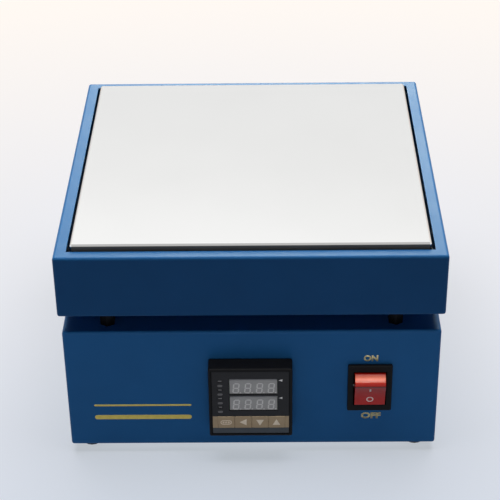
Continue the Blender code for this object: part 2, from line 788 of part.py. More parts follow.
def conduit_hole(low, high):
    return bar("conduit_hole", CONDUIT_RADIUS + GAP, (0, CONDUIT_Y, low), (0, CONDUIT_Y, high), 20)


def head_shell():
    shell = folded_shell("head_shell", HEAD_SIDE, HEAD_HEIGHT, HEAD_BOTTOM, HEAD_RIM, HEAD_FLANGE)
    part(cut(shell, *column_holes(HEAD_BOTTOM - OVERCUT, HEAD_BOTTOM + SHEET + OVERCUT)), "blue_steel")


def head_floor():
    half = HEAD_SIDE / 2 - SHEET - FLOOR_CLEARANCE
    floor = slab("head_floor", (-half, -half, FLOOR_BOTTOM), (half, half, FLOOR_TOP))
    low, high = FLOOR_BOTTOM - OVERCUT, FLOOR_TOP + OVERCUT
    holes = [
        bar("post_screw_hole", PLATE_SCREW_RADIUS + GAP, (x, y, low), (x, y, high), 8)
        for x, y in corners(POST_SPREAD, POST_SPREAD)
    ]
    part(cut(floor, conduit_hole(low, high), *column_holes(low, high), *holes), "zinc_steel")


def wire_conduit():
    """Flanged bush from the head's floor down through the roof of the case."""
    flange = FLOOR_TOP + GAP + CONDUIT_FLANGE_HEIGHT
    inner = CONDUIT_RADIUS - CONDUIT_WALL
    profile = [
        (CONDUIT_FLANGE_RADIUS, flange),
        (CONDUIT_FLANGE_RADIUS, FLOOR_TOP + GAP),
        (CONDUIT_RADIUS, FLOOR_TOP + GAP),
        (CONDUIT_RADIUS, CONDUIT_END),
        (inner, CONDUIT_END),
        (inner, flange),
    ]
    part(turned("wire_conduit", profile, (0, CONDUIT_Y, 0), 20), "zinc_steel")


def conduit_nut():
    top = CASE_TOP - SHEET - GAP
    ring = nut((0, CONDUIT_Y, top), CONDUIT_NUT_RADIUS, -CONDUIT_NUT_HEIGHT)
    bore = conduit_hole(top - CONDUIT_NUT_HEIGHT - OVERCUT, top + OVERCUT)
    part(cut(ring, bore), "zinc_steel", "conduit_nut")


def spacer_columns():
    """Hexagonal pillars between case and head, bored through for their bolts."""
    low, high = CASE_TOP + GAP, HEAD_BOTTOM - GAP
    for index, (x, y) in enumerate(corners(COLUMN_X, COLUMN_Y)):
        column = bar(f"spacer_column_{index + 1}", COLUMN_HEX_RADIUS, (x, y, low), (x, y, high), 6)
        bore = bar("bore", COLUMN_BOLT_RADIUS + GAP, (x, y, low - OVERCUT), (x, y, high + OVERCUT), 8)
        part(cut(column, bore), "black_steel")


def column_bolts():
    """A bolt down through the head's floor, each column and the case's roof, with its nut under the roof."""
    seat, nut_top = FLOOR_TOP + GAP, CASE_TOP - SHEET - GAP
    length = seat - nut_top + COLUMN_NUT_HEIGHT + COLUMN_BOLT_TAIL
    sizes = (COLUMN_BOLT_HEAD, COLUMN_BOLT_HEAD_HEIGHT, COLUMN_BOLT_RADIUS)
    for index, (x, y) in enumerate(corners(COLUMN_X, COLUMN_Y)):
        bolt = pan_screw(f"column_bolt_{index + 1}", (x, y, seat), *sizes, length, "down")
        part(fuse(bolt, nut((x, y, nut_top), COLUMN_NUT_RADIUS, -COLUMN_NUT_HEIGHT)), "stainless")


# Control case

def case_shell():
    """Folded case with its cut-outs: controller, switch, inlet, side vents, conduit and screw holes."""
    shell = folded_shell("case_shell", CASE_SIDE, CASE_HEIGHT, CASE_LIFT, 0, CASE_FLANGE)
    front, inside = FRONT - OVERCUT, FRONT + SHEET + OVERCUT
    rear, rear_inside = BACK + OVERCUT, BACK - SHEET - OVERCUT
    roof_inside, roof_top = CASE_TOP - SHEET - OVERCUT, CASE_TOP + OVERCUT
    controller = BODY_SIDE / 2 + GAP
    width, tall = SWITCH_BODY_WIDTH / 2 + GAP, SWITCH_BODY_TALL / 2 + GAP
    inlet_width, inlet_tall = INLET_BODY_WIDTH / 2 + GAP, INLET_BODY_TALL / 2 + GAP
    tools = [
        slab(
            "controller_cut",
            (CONTROLLER_X - controller, front, CONTROLLER_Z - controller),
            (CONTROLLER_X + controller, inside, CONTROLLER_Z + controller),
        ),
        slab(
            "switch_cut",
            (SWITCH_X - width, front, SWITCH_Z - tall),
            (SWITCH_X + width, inside, SWITCH_Z + tall),
        ),
        slab(
            "inlet_cut",
            (INLET_X - inlet_width, rear_inside, INLET_Z - inlet_tall),
            (INLET_X + inlet_width, rear, INLET_Z + inlet_tall),
        ),
        conduit_hole(roof_inside, roof_top),
        *column_holes(roof_inside, roof_top),
    ]
    for side in (-1, 1):
        x = INLET_X + side * INLET_EAR_X
        ends = (x, rear_inside, INLET_Z), (x, rear, INLET_Z)
        tools.append(bar("ear_hole", INLET_SCREW_RADIUS + GAP, *ends, 8))
        inner, outer = side * (CASE_SIDE / 2 - SHEET - OVERCUT), side * (CASE_SIDE / 2 + OVERCUT)
        for y in spaced(VENT_COUNT, VENT_PITCH):
            start, end = (inner, VENT_Y + y, VENT_Z), (outer, VENT_Y + y, VENT_Z)
            tools.append(stadium("vent", VENT_WIDTH, VENT_LENGTH, start, end, "Z"))
    for x, y in corners(FOOT_X, FOOT_Y):
        low, high = CASE_LIFT - OVERCUT, CASE_LIFT + SHEET + OVERCUT
        tools.append(bar("foot_hole", FOOT_SCREW_RADIUS + GAP, (x, y, low), (x, y, high), 8))
    part(cut(shell, *tools), "blue_steel")


def bottom_plate():
    """Vented sheet below the case, with the earth stud pressed into it and its nut."""
    half = CASE_SIDE / 2 - BOTTOM_MARGIN
    plate = slab("bottom_plate", (-half, -half, BASE_BOTTOM), (half, half, BASE_TOP))
    low, high = BASE_BOTTOM - OVERCUT, BASE_TOP + OVERCUT
    tools = [
        bar("foot_hole", FOOT_SCREW_RADIUS + GAP, (x, y, low), (x, y, high), 8)
        for x, y in corners(FOOT_X, FOOT_Y)
    ]
    for y in (-RELAY_SCREW_Y, RELAY_SCREW_Y):
        place = (RELAY_X, RELAY_Y + y)
        tools.append(bar("relay_hole", RELAY_SCREW_RADIUS + GAP, (*place, low), (*place, high), 8))
    for x in spaced(FLOOR_VENT_COUNT, VENT_PITCH):
        start, end = (FLOOR_VENT_X + x, FLOOR_VENT_Y, low), (FLOOR_VENT_X + x, FLOOR_VENT_Y, high)
        tools.append(stadium("vent", VENT_WIDTH, FLOOR_VENT_LENGTH, start, end, "Y"))
    place = (EARTH_X, EARTH_Y, BASE_TOP)
    stud = bar("stud", EARTH_RADIUS, (EARTH_X, EARTH_Y, BASE_BOTTOM + SHEET / 2), earth_stud_top(), 12)
    earth_nut = bar("earth_nut", EARTH_NUT_RADIUS, place, (EARTH_X, EARTH_Y, BASE_TOP + EARTH_NUT_HEIGHT), 6)
    earth_nut.location.z -= SHEET / 4
    part(fuse(cut(plate, *tools), stud, earth_nut), "zinc_steel")


def earth_stud_top():
    return (EARTH_X, EARTH_Y, BASE_TOP + EARTH_LENGTH)


def feet():
    """Tapered rubber feet with a recess below for the screw head."""
    bore = FOOT_SCREW_RADIUS + GAP
    profile = [
        (FOOT_RADIUS, FOOT_TALL),
        (FOOT_RADIUS - FOOT_TAPER, FOOT_ROUND),
        (FOOT_RADIUS - FOOT_TAPER - FOOT_ROUND, 0),
        (FOOT_RECESS_RADIUS, 0),
        (FOOT_RECESS_RADIUS, FOOT_RECESS_DEPTH),
        (bore, FOOT_RECESS_DEPTH),
        (bore, FOOT_TALL),
    ]
    for index, (x, y) in enumerate(corners(FOOT_X, FOOT_Y)):
        part(turned(f"foot_{index + 1}", profile, (x, y, 0)), "rubber")


def foot_screws():
    """Screws up through feet, bottom plate and case flange, with their nuts: they hold the underside."""
    seat = FOOT_RECESS_DEPTH - GAP
    nut_bottom = CASE_LIFT + SHEET + GAP
    length = nut_bottom + FOOT_NUT_HEIGHT + FOOT_SCREW_TAIL - seat
    sizes = (FOOT_SCREW_HEAD, FOOT_SCREW_HEAD_HEIGHT, FOOT_SCREW_RADIUS)
    for index, (x, y) in enumerate(corners(FOOT_X, FOOT_Y)):
        screw = pan_screw(f"foot_screw_{index + 1}", (x, y, seat), *sizes, length, "up")
        part(fuse(screw, nut((x, y, nut_bottom), FOOT_NUT_RADIUS, FOOT_NUT_HEIGHT)), "stainless")


# Temperature controller

def face_slab(name, centre_x, centre_z, width, tall, front, back, rounding=0.0, steps=2):
    """A box given by its place and size on the controller's face and by how far in it starts and ends."""
    x, z = CONTROLLER_X + centre_x, CONTROLLER_Z + centre_z
    low, high = (x - width / 2, front, z - tall / 2), (x + width / 2, back, z + tall / 2)
    return slab(name, low, high, rounding, steps)


def bracket_slots(margin):
    """The tabs of the two clamping brackets, or with a margin the slots that they hook into."""
    start = FRONT + SHEET + BRACKET_DISTANCE + BRACKET_LENGTH - BRACKET_TAB_LENGTH
    reach = BODY_SIDE / 2 - BRACKET_TAB_TALL / 2
    tabs = []
    for side in (1, -1):
        tall = BRACKET_TAB_TALL + 2 * GAP + 2 * margin
        tabs.append(face_slab(
            "tab", 0, side * (reach + GAP), BRACKET_WIDTH + 2 * margin, tall,
            start - margin, start + BRACKET_TAB_LENGTH + margin,
        ))
    return tabs


def controller_case():
    """Bezel and deep body in one moulding, with a stepped pocket in front and terminal wells behind."""
    bezel = face_slab("controller_case", 0, 0, BEZEL_SIDE, BEZEL_SIDE, BEZEL_FACE, BEZEL_BACK, BEZEL_ROUND)
    rear = BEZEL_BACK + BODY_DEPTH
    body = face_slab("body", 0, 0, BODY_SIDE, BODY_SIDE, BEZEL_BACK - OVERCUT, rear, BEZEL_ROUND, 1)
    wide = BEZEL_SIDE - 2 * BEZEL_WALL
    narrow = wide - 2 * LEDGE_WIDTH
    fascia_seat = FASCIA_BACK + GAP
    pocket = face_slab("pocket", 0, 0, wide, wide, BEZEL_FACE - OVERCUT, fascia_seat)
    pocket_end = BEZEL_FACE + POCKET_DEPTH
    board_room = face_slab("board_room", 0, 0, narrow, narrow, fascia_seat - OVERCUT, pocket_end)
    cut(fuse(bezel, body), pocket)
    cut(bezel, board_room, *bracket_slots(GAP))
    wells_tall = TERMINAL_COUNT * TERMINAL_PITCH
    wells = [
        face_slab("well", x, 0, TERMINAL_WELL_WIDTH, wells_tall, rear - TERMINAL_WELL_DEPTH, rear + OVERCUT)
        for x in (-TERMINAL_X, TERMINAL_X)
    ]
    part(combine(cut(bezel, *wells), terminal_screws(), "UNION"), "black_plastic")


def key_opening_width():
    return KEY_COUNT * KEY_PITCH - KEY_PARTING + 2 * GAP


def controller_fascia():
    side = BEZEL_SIDE - 2 * (BEZEL_WALL + GAP)
    fascia = face_slab("controller_fascia", 0, 0, side, side, FASCIA_FACE, FASCIA_BACK)
    through = FASCIA_FACE - OVERCUT, FASCIA_BACK + OVERCUT
    key_tall = KEY_TALL + 2 * GAP
    tools = [
        face_slab("upper_window", WINDOW_X, UPPER_WINDOW_Z, WINDOW_WIDTH, UPPER_WINDOW_HEIGHT, *through),
        face_slab("lower_window", WINDOW_X, LOWER_WINDOW_Z, WINDOW_WIDTH, LOWER_WINDOW_HEIGHT, *through),
        face_slab("key_opening", KEY_ROW_X, KEY_ROW_Z, key_opening_width(), key_tall, *through),
    ]
    for index in range(LAMP_COUNT):
        z = LAMP_TOP_Z - index * LAMP_PITCH
        tools.append(face_slab("lamp_opening", LAMP_X, z, LAMP_WIDTH, LAMP_TALL, *through))
    part(cut(fascia, *tools), "dark_fascia")


def displays():
    """Two segment modules that stand on the board and fill their windows in the fascia."""
    face, back = FASCIA_FACE + DISPLAY_RECESS, BOARD_FACE - GAP
    width = WINDOW_WIDTH - 2 * GAP
    for name, z, tall in (
        ("process_display", UPPER_WINDOW_Z, UPPER_WINDOW_HEIGHT),
        ("setpoint_display", LOWER_WINDOW_Z, LOWER_WINDOW_HEIGHT),
    ):
        part(face_slab(name, WINDOW_X, z, width, tall - 2 * GAP, face, back), "display_grey")


def lamps():
    """Indicator lamps soldered to the board, which reach their openings beside the displays."""
    return [
        face_slab(
            "lamp", LAMP_X, LAMP_TOP_Z - index * LAMP_PITCH, LAMP_WIDTH - 2 * GAP, LAMP_TALL - 2 * GAP,
            FASCIA_FACE + GAP, BOARD_FACE + BOARD_THICKNESS / 2,
        )
        for index in range(LAMP_COUNT)
    ]


def controller_keys():
    """Caps side by side in the fascia's opening, each with a shelf above and below that keeps it in."""
    cap_face = FASCIA_FACE - KEY_PROUD
    shelf_front = FASCIA_BACK + GAP
    shelf_back = shelf_front + KEY_SHELF_THICKNESS
    stem_end = BOARD_FACE - KEY_SWITCH_HEIGHT - KEY_TRAVEL - GAP
    width = KEY_PITCH - KEY_PARTING
    names = ("key_set", "key_shift", "key_down", "key_up")
    for name, offset in zip(names, spaced(KEY_COUNT, KEY_PITCH)):
        x = KEY_ROW_X + offset
        cap = face_slab(name, x, KEY_ROW_Z, width, KEY_TALL, cap_face, shelf_back - OVERCUT / 2, KEY_ROUND)
        shelf_tall = KEY_TALL + 2 * KEY_SHELF
        shelf = face_slab("shelf", x, KEY_ROW_Z, width, shelf_tall, shelf_front, shelf_back)
        place = (CONTROLLER_X + x, CONTROLLER_Z + KEY_ROW_Z)
        stem = bar(
            "stem", KEY_STEM_RADIUS,
            (place[0], shelf_back - OVERCUT / 2, place[1]), (place[0], stem_end, place[1]), 10,
        )
        part(fuse(cap, shelf, stem), "bronze_key")


def control_board():
    """Circuit board at the bottom of the pocket, with the keys' tact switches and the indicator lamps."""
    side = BEZEL_SIDE - 2 * (BEZEL_WALL + LEDGE_WIDTH + GAP)
    board = face_slab("control_board", 0, 0, side, side, BOARD_FACE, BOARD_BACK)
    front, back = BOARD_FACE - KEY_SWITCH_HEIGHT, BOARD_FACE + BOARD_THICKNESS / 2
    switches = [
        face_slab("tact", KEY_ROW_X + x, KEY_ROW_Z, KEY_SWITCH_SIDE, KEY_SWITCH_SIDE, front, back)
        for x in spaced(KEY_COUNT, KEY_PITCH)
    ]
    part(combine(board, switches + lamps(), "UNION"), "board_green")


def controller_brackets():
    """Clamps above and below the body: a tab hooks into the body and a screw presses on the front sheet."""
    sheet_back = FRONT + SHEET
    front = sheet_back + BRACKET_DISTANCE
    rear = front + BRACKET_LENGTH
    centre = BODY_SIDE / 2 + GAP + BRACKET_TALL / 2
    tabs = bracket_slots(0)
    sizes = (BRACKET_SCREW_HEAD, BRACKET_SCREW_HEAD_HEIGHT, BRACKET_SCREW_RADIUS)
    names = ("controller_bracket_upper", "controller_bracket_lower")
    for name, side, tab in zip(names, (1, -1), tabs):
        bracket = face_slab(name, 0, side * centre, BRACKET_WIDTH, BRACKET_TALL, front, rear, BEZEL_ROUND, 1)
        seat = (CONTROLLER_X, rear - GAP, CONTROLLER_Z + side * centre)
        screw = pan_screw("screw", seat, *sizes, seat[1] - sheet_back - GAP, "front")
        part(fuse(bracket, tab, screw), "black_plastic")


def terminal_screws():
    """Ten terminal screws that stand in the wells at the controller's rear."""
    base = BEZEL_BACK + BODY_DEPTH - TERMINAL_WELL_DEPTH
    screws = []
    for x in (CONTROLLER_X - TERMINAL_X, CONTROLLER_X + TERMINAL_X):
        for offset in spaced(TERMINAL_COUNT, TERMINAL_PITCH):
            z = CONTROLLER_Z + offset
            ends = (x, base - OVERCUT, z), (x, base + TERMINAL_HEIGHT, z)
            screws.append(bar("screw", TERMINAL_RADIUS, *ends, 8))
    return screws


# Rocker switch

def switch_housing():
    """Bezel and body in one moulding, with blind holes for the trunnions and the terminals behind."""
    half_width, half_tall = SWITCH_BEZEL_WIDTH / 2, SWITCH_BEZEL_TALL / 2
    bezel = slab(
        "switch_housing",
        (SWITCH_X - half_width, SWITCH_FACE, SWITCH_Z - half_tall),
        (SWITCH_X + half_width, FRONT - GAP, SWITCH_Z + half_tall),
        SWITCH_BEZEL_ROUND,
    )
    width, tall = SWITCH_BODY_WIDTH / 2, SWITCH_BODY_TALL / 2
    body = slab(
        "body",
        (SWITCH_X - width, FRONT - GAP - OVERCUT, SWITCH_Z - tall),
        (SWITCH_X + width, SWITCH_REAR, SWITCH_Z + tall),
    )
    well = slab(
        "well",
        (SWITCH_X - WELL_WIDTH / 2, SWITCH_FACE - OVERCUT, SWITCH_Z - WELL_TALL / 2),
        (SWITCH_X + WELL_WIDTH / 2, SWITCH_FACE + WELL_DEPTH, SWITCH_Z + WELL_TALL / 2),
    )
    reach = WELL_WIDTH / 2 + PIVOT_BITE + GAP / 2
    ends = [(SWITCH_X + side * reach, PIVOT_Y, SWITCH_Z) for side in (-1, 1)]
    trunnions = bar("trunnion_holes", PIVOT_RADIUS + GAP, *ends)
    blades = [blade(x, z) for x, z in corners(BLADE_X, BLADE_Z)]
    part(combine(cut(cut(fuse(bezel, body), well), trunnions), blades, "UNION"), "black_plastic")


def blade(x, z):
    """One flat terminal, moulded into the rear of the switch."""
    half_width, half_thickness = BLADE_WIDTH / 2, BLADE_THICKNESS / 2
    return slab(
        "blade",
        (SWITCH_X + x - half_width, SWITCH_REAR - OVERCUT, SWITCH_Z + z - half_thickness),
        (SWITCH_X + x + half_width, SWITCH_REAR + BLADE_LENGTH, SWITCH_Z + z + half_thickness),
    )


def rocker_outline():
    """Side view of the rocker about its pivot: X is outwards, Y is up, and both ends are arcs."""
    ridge = ROCKER_RIDGE_ANGLE
    tail = math.degrees(math.asin(ROCKER_UNDERSIDE / ROCKER_RADIUS))
    upper = arc(ROCKER_RADIUS, 90 - ridge, 90 + tail, 5)
    lower = arc(ROCKER_RADIUS, -90 - tail, ridge - 90, 5)
    ridge_out, ridge_up = lower[-1][0], upper[0][1]
    face = []
    for step in range(1, ROCKER_FACE_STEPS):
        share = step / ROCKER_FACE_STEPS
        dip = 4 * ROCKER_SAG * share * (1 - share)
        face.append((ridge_out - dip, ridge_up * (2 * share - 1)))
    return upper + lower + face


def power_rocker():
    """Concave rocker, tipped to its off side. Its origin is on its trunnions' axis."""
    frame = Matrix(((0, 0, 1, 0), (-1, 0, 0, 0), (0, 1, 0, 0), (0, 0, 0, 1)))
    centre = (SWITCH_X, PIVOT_Y, SWITCH_Z)
    rocker = extruded("power_rocker", rocker_outline(), ROCKER_WIDTH, centre, frame)
    bake(bevel(rocker, ROCKER_ROUND, 2, 50.0))
    reach = WELL_WIDTH / 2 + PIVOT_BITE
    ends = [(SWITCH_X + side * reach, PIVOT_Y, SWITCH_Z) for side in (-1, 1)]
    bake(fuse(rocker, bar("trunnions", PIVOT_RADIUS, *ends)))
    reorient(rocker, Matrix.Rotation(math.radians(ROCKER_THROW / 2), 4, "X"))
    part(rocker, "red_rocker")


# Mains inlet with fuse drawer

def inlet_slab(name, x, z, width, tall, front, back, rounding=0.0, steps=2):
    """A box on the inlet. Front and back say how deep behind the flange's face it starts and ends."""
    low = (INLET_X + x - width / 2, INLET_FACE - back, INLET_Z + z - tall / 2)
    high = (INLET_X + x + width / 2, INLET_FACE - front, INLET_Z + z + tall / 2)
    return slab(name, low, high, rounding, steps)


def inlet_outline():
    """Flange outline: a rounded rectangle that runs out into a screw ear on each side."""
    x, y = INLET_WIDTH / 2 - INLET_ROUND, INLET_TALL / 2 - INLET_ROUND
    lean = INLET_EAR_LEAN
    outline = []
    for side in (0, 180):
        turn = 1 if side == 0 else -1
        outline += arc(INLET_ROUND, side - 90, side - 90 + lean, 2, (turn * x, -turn * y))
        outline += arc(INLET_EAR_RADIUS, side - 90 + lean, side + 90 - lean, 4, (turn * INLET_EAR_X, 0))
        outline += arc(INLET_ROUND, side + 90 - lean, side + 90, 2, (turn * x, turn * y))
    return outline


def pin_places():
    """Live, neutral and, higher up, earth."""
    return [(-PIN_X, SOCKET_Z - PIN_OFFSET), (PIN_X, SOCKET_Z - PIN_OFFSET), (0, SOCKET_Z + PIN_OFFSET)]


def inlet_pin(x, z):
    """A pin that stands in the socket and comes out behind as a tab."""
    tab_end = INLET_FLANGE + INLET_BODY_DEPTH + PIN_TAIL
    return inlet_slab("pin", x, z, PIN_WIDTH, PIN_TALL, PIN_RECESS, tab_end)


def inlet_housing():
    """Flange and body in one moulding round its pins, with the socket above and the drawer's room below."""
    upright = Matrix.Rotation(math.radians(90), 4, "X")
    centre = (INLET_X, INLET_FACE - INLET_FLANGE / 2, INLET_Z)
    flange = extruded("inlet_housing", inlet_outline(), INLET_FLANGE, centre, upright)
    body_rear = INLET_FLANGE + INLET_BODY_DEPTH
    body = inlet_slab("body", 0, 0, INLET_BODY_WIDTH, INLET_BODY_TALL, INLET_FLANGE - OVERCUT, body_rear)
    half, top = SOCKET_WIDTH / 2, SOCKET_TALL / 2
    outline = [
        (-half, -top),
        (half, -top),
        (half, top - SOCKET_CHAMFER),
        (half - SOCKET_CHAMFER, top),
        (SOCKET_CHAMFER - half, top),
        (-half, top - SOCKET_CHAMFER),
    ]
    depth = SOCKET_DEPTH + OVERCUT
    place = (INLET_X, INLET_FACE + OVERCUT - depth / 2, INLET_Z + SOCKET_Z)
    socket = extruded("socket", outline, depth, place, upright)
    drawer_room = inlet_slab(
        "drawer_room", 0, DRAWER_Z, DRAWER_WIDTH + 2 * GAP, DRAWER_TALL + 2 * GAP,
        -OVERCUT, DRAWER_DEPTH + GAP,
    )
    pins = [inlet_pin(x, z) for x, z in pin_places()]
    bore = INLET_SCREW_RADIUS + GAP
    ear_holes = []
    for side in (-1, 1):
        x = INLET_X + side * INLET_EAR_X
        ends = (x, INLET_FACE - INLET_FLANGE - OVERCUT, INLET_Z), (x, INLET_FACE + OVERCUT, INLET_Z)
        ear_holes.append(bar("ear_hole", bore, *ends, 8))
    cut(fuse(flange, body), socket, drawer_room, *ear_holes)
    part(combine(flange, pins, "UNION"), "black_plastic")


def fuse_drawer():
    """Tray open on top that holds the fuse across, with a face that has a notch for a fingernail."""
    overlap = OVERCUT / 2
    tray = inlet_slab("fuse_drawer", 0, DRAWER_Z, DRAWER_WIDTH, DRAWER_TALL, -GAP - overlap, DRAWER_DEPTH)
    face = inlet_slab(
        "face", 0, DRAWER_Z, DRAWER_WIDTH + 2 * DRAWER_FACE_MARGIN, DRAWER_TALL + 2 * DRAWER_FACE_MARGIN,
        -GAP - DRAWER_FACE, -GAP, DRAWER_FACE / 4,
    )
    room = inlet_slab(
        "fuse_room", 0, DRAWER_Z + DRAWER_WALL, FUSE_LENGTH + 2 * GAP, DRAWER_TALL,
        DRAWER_DEPTH - DRAWER_WALL - FUSE_TALL - 2 * GAP, DRAWER_DEPTH - DRAWER_WALL,
    )
    notch = inlet_slab(
        "notch", 0, DRAWER_Z, DRAWER_NOTCH_WIDTH, DRAWER_NOTCH_TALL,
        -GAP - DRAWER_FACE - OVERCUT, -GAP - DRAWER_FACE + DRAWER_NOTCH_DEPTH,
    )
    part(cut(fuse(tray, face), room, notch), "black_plastic")


def mains_fuse():
    """Glass fuse with a metal cap on each end."""
    half = FUSE_LENGTH / 2
    cap = FUSE_RADIUS + FUSE_CAP_RISE
    profile = [
        (0, half),
        (cap, half),
        (cap, half - FUSE_CAP),
        (FUSE_RADIUS, half - FUSE_CAP),
        (FUSE_RADIUS, FUSE_CAP - half),
        (cap, FUSE_CAP - half),
        (cap, -half),
        (0, -half),
    ]
    depth = DRAWER_DEPTH - DRAWER_WALL - GAP - FUSE_TALL / 2
    z = INLET_Z + DRAWER_Z - DRAWER_TALL / 2 + DRAWER_WALL + GAP + FUSE_TALL / 2
    fuse_body = turned("mains_fuse", profile, (INLET_X, INLET_FACE - depth, z), 12)
    part(reorient(fuse_body, AXIS_TURN["X"]), "glass")


def inlet_screws():
    """A screw through each ear and the case's rear sheet, with its nut inside."""
    seat, nut_face = INLET_FACE + GAP, BACK - SHEET - GAP
    length = seat - nut_face + INLET_NUT_HEIGHT + INLET_SCREW_TAIL
    sizes = (INLET_SCREW_HEAD, INLET_SCREW_HEAD_HEIGHT, INLET_SCREW_RADIUS)
    for index, x in enumerate((INLET_X - INLET_EAR_X, INLET_X + INLET_EAR_X)):
        screw = pan_screw(f"inlet_screw_{index + 1}", (x, seat, INLET_Z), *sizes, length, "front")
        ends = (x, nut_face, INLET_Z), (x, nut_face - INLET_NUT_HEIGHT, INLET_Z)
        part(fuse(screw, bar("nut", INLET_NUT_RADIUS, *ends, 6)), "stainless")


# Relay and terminal block on the bottom plate

def relay():
    """Solid-state relay: a metal base with its screws, and a body stepped down for its terminals."""
    bottom = BASE_TOP + GAP
    base_top = bottom + RELAY_BASE
    outline = rounded_rectangle(RELAY_WIDTH, RELAY_LENGTH, RELAY_ROUND)
    base = extruded("relay_base", outline, RELAY_BASE, (RELAY_X, RELAY_Y, bottom + RELAY_BASE / 2))
    length = RELAY_BASE + GAP + SHEET + RELAY_SCREW_TAIL
    sizes = (RELAY_SCREW_HEAD, RELAY_SCREW_HEAD_HEIGHT, RELAY_SCREW_RADIUS)
    screws = [
        pan_screw("screw", (RELAY_X, RELAY_Y + y, base_top - GAP), *sizes, length, "down")
        for y in (-RELAY_SCREW_Y, RELAY_SCREW_Y)
    ]
    part(combine(base, screws, "UNION"), "aluminium")

    low, top = base_top + GAP, base_top + GAP + RELAY_TALL
    half_width, half_length = RELAY_WIDTH / 2 - GAP, RELAY_BODY_LENGTH / 2
    body = slab(
        "relay_body",
        (RELAY_X - half_width, RELAY_Y - half_length, low),
        (RELAY_X + half_width, RELAY_Y + half_length, top),
    )
    steps, terminals = [], []
    step_z = top - RELAY_STEP_DEPTH
    for side in (-1, 1):
        inner, outer = half_length - RELAY_STEP_LENGTH, half_length + OVERCUT
        reach = sorted((RELAY_Y + side * inner, RELAY_Y + side * outer))
        steps.append(slab(
            "step",
            (RELAY_X - half_width - OVERCUT, reach[0], step_z),
            (RELAY_X + half_width + OVERCUT, reach[1], top + OVERCUT),
        ))
        y = RELAY_Y + side * (half_length - RELAY_STEP_LENGTH / 2)
        for x in (RELAY_X - RELAY_TERMINAL_X, RELAY_X + RELAY_TERMINAL_X):
            ends = (x, y, step_z - OVERCUT), (x, y, step_z + RELAY_TERMINAL_TALL)
            terminals.append(bar("terminal", RELAY_TERMINAL_RADIUS, *ends, 8))
    part(combine(cut(body, *steps), terminals, "UNION"), "relay_cream")


def terminal_block():
    """Ceramic connector block that joins the heater leads to the mains leads."""
    bottom = BASE_TOP + GAP
    half_width, half_length = BLOCK_WIDTH / 2, BLOCK_LENGTH / 2
    block = slab(
        "terminal_block",
        (BLOCK_X - half_width, BLOCK_Y - half_length, bottom),
        (BLOCK_X + half_width, BLOCK_Y + half_length, bottom + BLOCK_TALL),
        BLOCK_ROUND, 1,
    )
    part(block, "ceramic")


# Wiring

def heater_loom():
    """Sleeved leads of the heaters: they drop behind the plate and go down the conduit in one trunk."""
    behind = PLATE_SIDE / 2 + LOOM_DISTANCE
    level = FLOOR_TOP + LOOM_LEVEL
    block_rear = BLOCK_Y + BLOCK_LENGTH / 2 + GAP
    block_z = BASE_TOP + BLOCK_TALL / 2
    loom = lead("heater_loom", [
        (TRUNK_X, behind, level),
        (TRUNK_X, behind - TRUNK_BEND, level),
        (TRUNK_X, CONDUIT_Y + TRUNK_BEND / 2, level),
        (TRUNK_X, CONDUIT_Y, level),
        (TRUNK_X, CONDUIT_Y, level - TRUNK_BEND / 2),
        (TRUNK_X, CONDUIT_Y, CONDUIT_END - TRUNK_BEND / 2),
        (BLOCK_X, CONDUIT_Y, block_z + 2 * TRUNK_BEND),
        (BLOCK_X, block_rear + TRUNK_BEND, block_z),
        (BLOCK_X, block_rear, block_z),
    ], TRUNK_RADIUS, 3)
    outermost = (HEATER_COUNT - 1) / 2 * HEATER_PITCH
    ends = (-outermost, behind, level), (outermost, behind, level)
    cross_run = bar("cross_run", CROSS_RUN_RADIUS, *ends, 10)
    droppers = [
        lead("dropper", [
            (x, PLATE_SIDE / 2 + GAP, HEATER_Z),
            (x, behind, HEATER_Z),
            (x, behind, HEATER_Z - LEAD_BEND),
            (x, behind, level),
        ], SLEEVE_RADIUS, 3)
        for x in spaced(HEATER_COUNT, HEATER_PITCH)
    ]
    part(fuse(loom, cross_run, *droppers), "white_sleeve")


def mains_loom():
    """The case's own wiring, tied in one trunk: inlet, switch, relay, connector block and earth stud."""
    tab_end = INLET_REAR - PIN_TAIL - GAP
    blade_end = SWITCH_REAR + BLADE_LENGTH + GAP
    block_front = BLOCK_Y - BLOCK_LENGTH / 2 - GAP
    block_z = BASE_TOP + BLOCK_TALL / 2
    relay_top = BASE_TOP + 3 * GAP + RELAY_BASE + RELAY_TALL - RELAY_STEP_DEPTH + RELAY_TERMINAL_TALL
    relay_y = RELAY_Y - RELAY_BODY_LENGTH / 2 + RELAY_STEP_LENGTH / 2
    rear_end = Vector((INLET_X, tab_end - 2 * LEAD_BEND, INLET_Z))
    middle = Vector((INLET_X, 0, INLET_Z))
    front_end = Vector((SWITCH_X, blade_end + 2 * LEAD_BEND, SWITCH_Z))
    back, up = Vector((0, LEAD_BEND, 0)), Vector((0, 0, LEAD_BEND))
    loom = lead("mains_loom", [rear_end, middle, front_end], TRUNK_RADIUS)
    branches = []
    for x, z in pin_places():
        start = Vector((INLET_X + x, tab_end, INLET_Z + z))
        branches.append([start, start - back, rear_end - back / 2])
    for x, z in corners(BLADE_X, BLADE_Z):
        start = Vector((SWITCH_X + x, blade_end, SWITCH_Z + z))
        branches.append([start, start + back, front_end + back / 2])
    for x in (RELAY_X - RELAY_TERMINAL_X, RELAY_X + RELAY_TERMINAL_X):
        start = Vector((x, relay_y, relay_top + GAP))
        branches.append([start, start + up, start + up - 3 * back, middle])
    for x in (BLOCK_X - BLOCK_WIDTH / 4, BLOCK_X + BLOCK_WIDTH / 4):
        start = Vector((x, block_front, block_z))
        branches.append([start, start - back, start - 2 * back + up, middle])
    earth, half_way = Vector(earth_stud_top()), (rear_end + middle) / 2
    branches.append([earth + Vector((0, 0, GAP)), earth + 2 * up, half_way + back, half_way])
    part(fuse(loom, *[lead("branch", route, LEAD_RADIUS) for route in branches]), "black_plastic")


